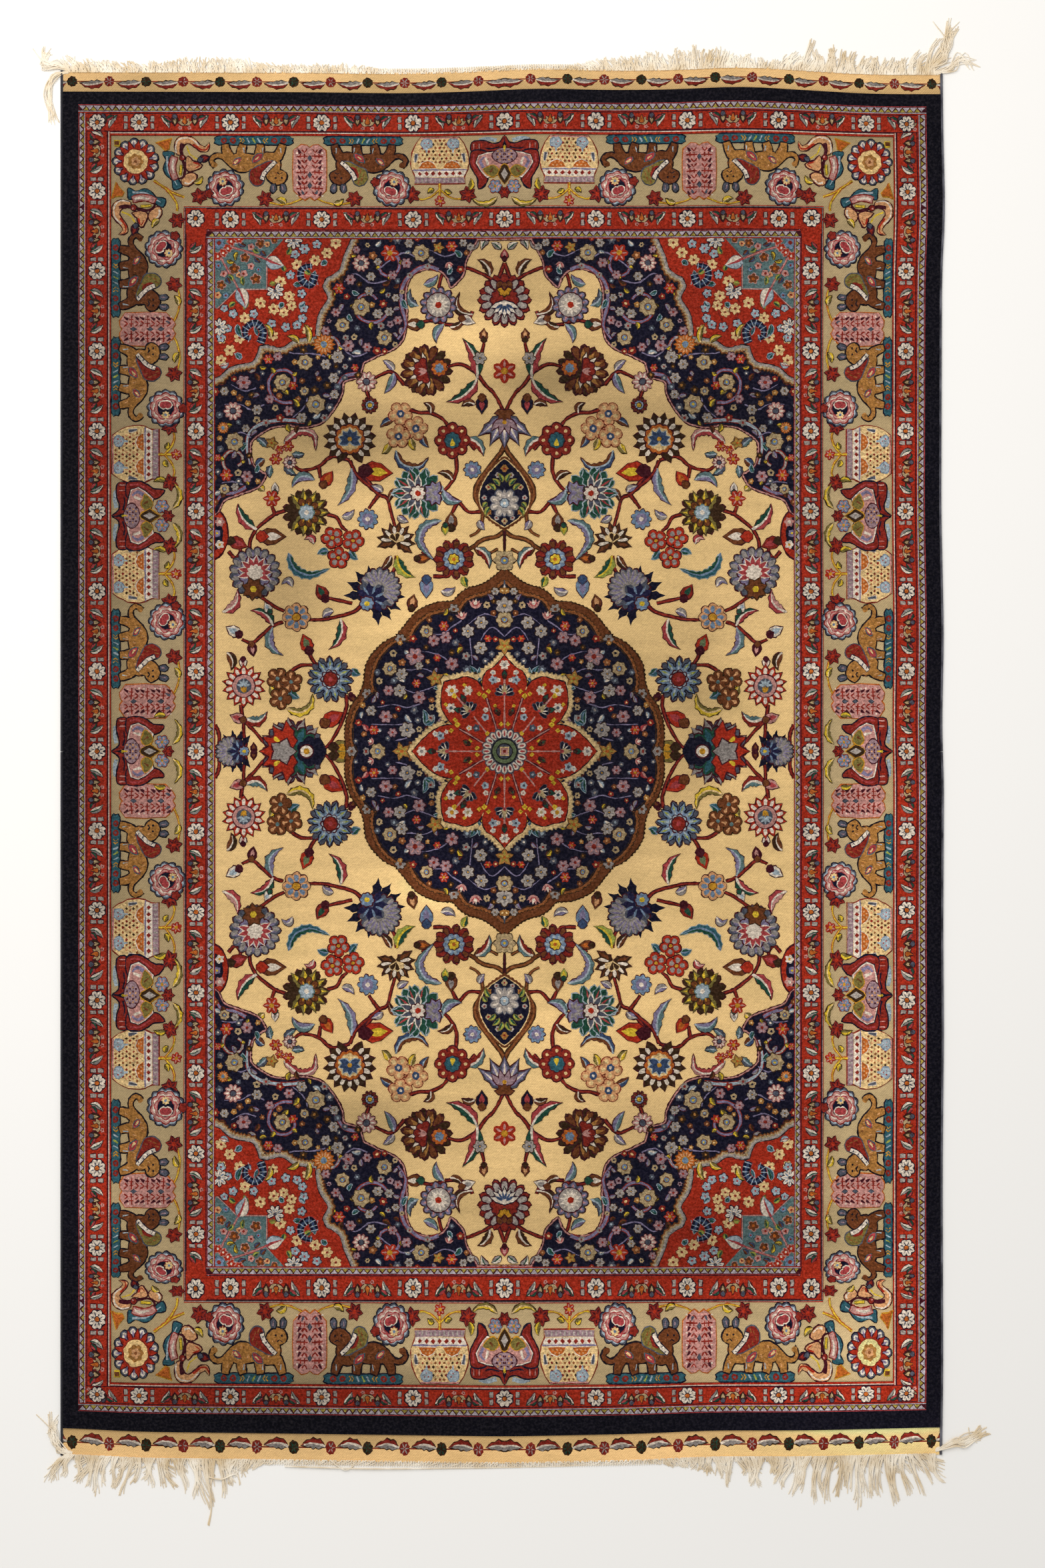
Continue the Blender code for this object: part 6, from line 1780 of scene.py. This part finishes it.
def yarnTree():
    """Round yarns along the lines of a mesh, thinner towards each tip."""
    tree = bpy.data.node_groups.new("roundYarns", "GeometryNodeTree")
    tree.interface.new_socket("Geometry", in_out="INPUT", socket_type="NodeSocketGeometry")
    tree.interface.new_socket("Yarn radius", in_out="INPUT", socket_type="NodeSocketFloat")
    tree.interface.new_socket("Tip share", in_out="INPUT", socket_type="NodeSocketFloat")
    tree.interface.new_socket("Sides", in_out="INPUT", socket_type="NodeSocketInt")
    tree.interface.new_socket("Material", in_out="INPUT", socket_type="NodeSocketMaterial")
    tree.interface.new_socket("Geometry", in_out="OUTPUT", socket_type="NodeSocketGeometry")
    given = tree.nodes.new("NodeGroupInput").outputs
    curve = addNode(tree, "GeometryNodeMeshToCurve", Mesh=given["Geometry"])
    along = addNode(tree, "GeometryNodeSplineParameter").outputs["Factor"]
    taper = addNode(tree, "ShaderNodeMapRange", Value=along, To_Min=1.0, To_Max=given["Tip share"])
    size = addNode(tree, "ShaderNodeMath", {"operation": "MULTIPLY"}, i0=taper.outputs[0], i1=given["Yarn radius"])
    section = addNode(tree, "GeometryNodeCurvePrimitiveCircle", Resolution=given["Sides"], Radius=1.0)
    tube = addNode(tree, "GeometryNodeCurveToMesh", Curve=curve.outputs[0], Profile_Curve=section.outputs["Curve"],
                   Scale=size.outputs[0], Fill_Caps=True)
    whole = addNode(tree, "GeometryNodeRealizeInstances", Geometry=tube.outputs[0])
    dressed = addNode(tree, "GeometryNodeSetMaterial", Geometry=whole.outputs[0], Material=given["Material"])
    addNode(tree, "NodeGroupOutput", Geometry=dressed.outputs[0])
    return tree


def grownMesh(name, lines, tree, values):
    """The lines as a mesh, run through the node tree and kept as a plain mesh."""
    points, edges = [], []
    for line in lines:
        edges += [(len(points) + k, len(points) + k + 1) for k in range(len(line) - 1)]
        points += [(axisX + x * mm, axisY + y * mm, z * mm) for x, y, z in line]
    mesh = bpy.data.meshes.new(name)
    mesh.from_pydata(points, edges, [])
    piece = bpy.data.objects.new(name, mesh)
    bpy.context.scene.collection.objects.link(piece)
    modifier = piece.modifiers.new("nodes", "NODES")
    modifier.node_group = tree
    for socket in tree.interface.items_tree:
        if socket.in_out == "INPUT" and socket.name in values:
            modifier[socket.identifier] = values[socket.name]
    finished = bpy.data.meshes.new_from_object(piece.evaluated_get(bpy.context.evaluated_depsgraph_get()))
    piece.modifiers.clear()
    piece.data = finished
    finished.name = name
    return piece


def plainYarn(name, light, darkTone):
    # loose cotton warp: matt, off-white, darker in cloudy patches
    material, tree, shader, place = newMaterial(name)
    cloud = addNode(tree, "ShaderNodeTexNoise", Vector=place, Scale=30.0, Detail=3.0)
    mix = addNode(tree, "ShaderNodeMix", {"data_type": "RGBA"})
    tree.links.new(rangeOf(tree, cloud.outputs[0], 0.0, 1.0, 0.35, 0.7), mix.inputs[0])
    mix.inputs[6].default_value = (*toLinear(light), 1)
    mix.inputs[7].default_value = (*toLinear(darkTone), 1)
    tree.links.new(mix.outputs[2], shader.inputs["Base Color"])
    shader.inputs["Roughness"].default_value = 0.85
    shader.inputs["Sheen Weight"].default_value = 0.2
    return material


warpYarn = plainYarn("looseWarpYarn", "#FFF6E6", "#E0C9A2")
sideYarn = {"left": plainYarn("overcastNavyYarn", "#12111A", "#23222E"),
            "right": plainYarn("overcastGreyYarn", "#23222F", "#6E6E78")}
yarns = yarnTree()
yarnValues = {
    "Yarn radius": fringe["yarnRadius"] * mm, "Tip share": fringe["tipShare"], "Sides": fringe["sides"],
    "Material": warpYarn,
}
combValues = dict(yarnValues, **{"Yarn radius": fringe["combRadius"] * mm, "Tip share": 0.8})
for end, table, tufts, where, node in (
    (1, topFringe, topTufts, "top", "fringe_top"), (-1, bottomFringe, bottomTufts, "bottom", "fringe_bottom"),
):
    for side, sideRange in (("Left", (-700, 0)), ("Right", (0, 700))):
        lines = yarnLines(table, end, sideRange, 20 + end) + tuftLines(tufts, sideRange, 5)
        piece = grownMesh("fringe." + where + side, lines, yarns, yarnValues)
        comb = grownMesh("fringeRoots." + where + side, combLines(end, sideRange), yarns, combValues)
        for made in (piece, comb):
            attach(made, "root")
            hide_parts(node)
        print("fringe", where, side, len(piece.data.polygons) + len(comb.data.polygons), "faces")

for side, sign, node in (("left", -1, "selvedge_left"), ("right", 1, "selvedge_right")):
    for half, low, high in (("Upper", 0, 1022), ("Lower", -1022, 0)):
        places = np.arange(low, high, 3.2)
        edge = pullWoven(np.full(len(places), float(sign * (rug["halfWidth"]))), places)
        line = [(x + sign * 2.2, y, 2.0 + 0.2 * math.sin(k * 2.4)) for k, (x, y) in enumerate(zip(*edge))]
        values = dict(yarnValues, **{"Yarn radius": 1.9 * mm, "Tip share": 1.0, "Sides": 6, "Material": sideYarn[side]})
        piece = grownMesh("selvedge." + side + half, [line], yarns, values)
        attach(piece, "root")
        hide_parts(node)

camera = bpy.data.objects.new("camera", bpy.data.cameras.new("camera"))
bpy.context.scene.collection.objects.link(camera)
camera.location = (axisX + 27 * mm, axisY - 49 * mm, 6.0)
camera.data.sensor_fit = "VERTICAL"
camera.data.sensor_height = 36
camera.data.lens = 36 * 6.0 / 2.352
bpy.context.scene.camera = camera

# Studio: a pale floor, an even white surround and one large soft light from the upper left
studio = {"floorColour": "#FBFAF8", "floorSide": 9.0, "surround": 0.6, "softLight": 88, "softSize": 3.0}
scene = bpy.context.scene
scene.view_settings.view_transform = "Standard"
floorMesh = bpy.data.meshes.new("floor")
half = studio["floorSide"] / 2
floorMesh.from_pydata([(-half, -half, 0), (half, -half, 0), (half, half, 0), (-half, half, 0)], [], [(0, 1, 2, 3)])
floor = bpy.data.objects.new("floor", floorMesh)
scene.collection.objects.link(floor)
# matt painted board: an even pale surface that takes a soft shadow
floorPaint, _, floorShader, _ = newMaterial("mattPaintedBoard")
floorShader.inputs["Base Color"].default_value = (*toLinear(studio["floorColour"]), 1)
floorShader.inputs["Roughness"].default_value = 0.9
floorMesh.materials.append(floorPaint)

softBox = bpy.data.objects.new("softBox", bpy.data.lights.new("softBox", "AREA"))
softBox.data.size = studio["softSize"]
softBox.data.energy = studio["softLight"]
softBox.data.color = (1, 0.97, 0.93)
softBox.location = (-1.3, 1.8, 3)
softBox.rotation_euler = (-softBox.location).to_track_quat("-Z", "Y").to_euler()
scene.collection.objects.link(softBox)
world = bpy.data.worlds.new("studio")
world.use_nodes = True
world.node_tree.nodes["Background"].inputs[0].default_value = (1, 0.99, 0.97, 1)
world.node_tree.nodes["Background"].inputs[1].default_value = studio["surround"]
scene.world = world
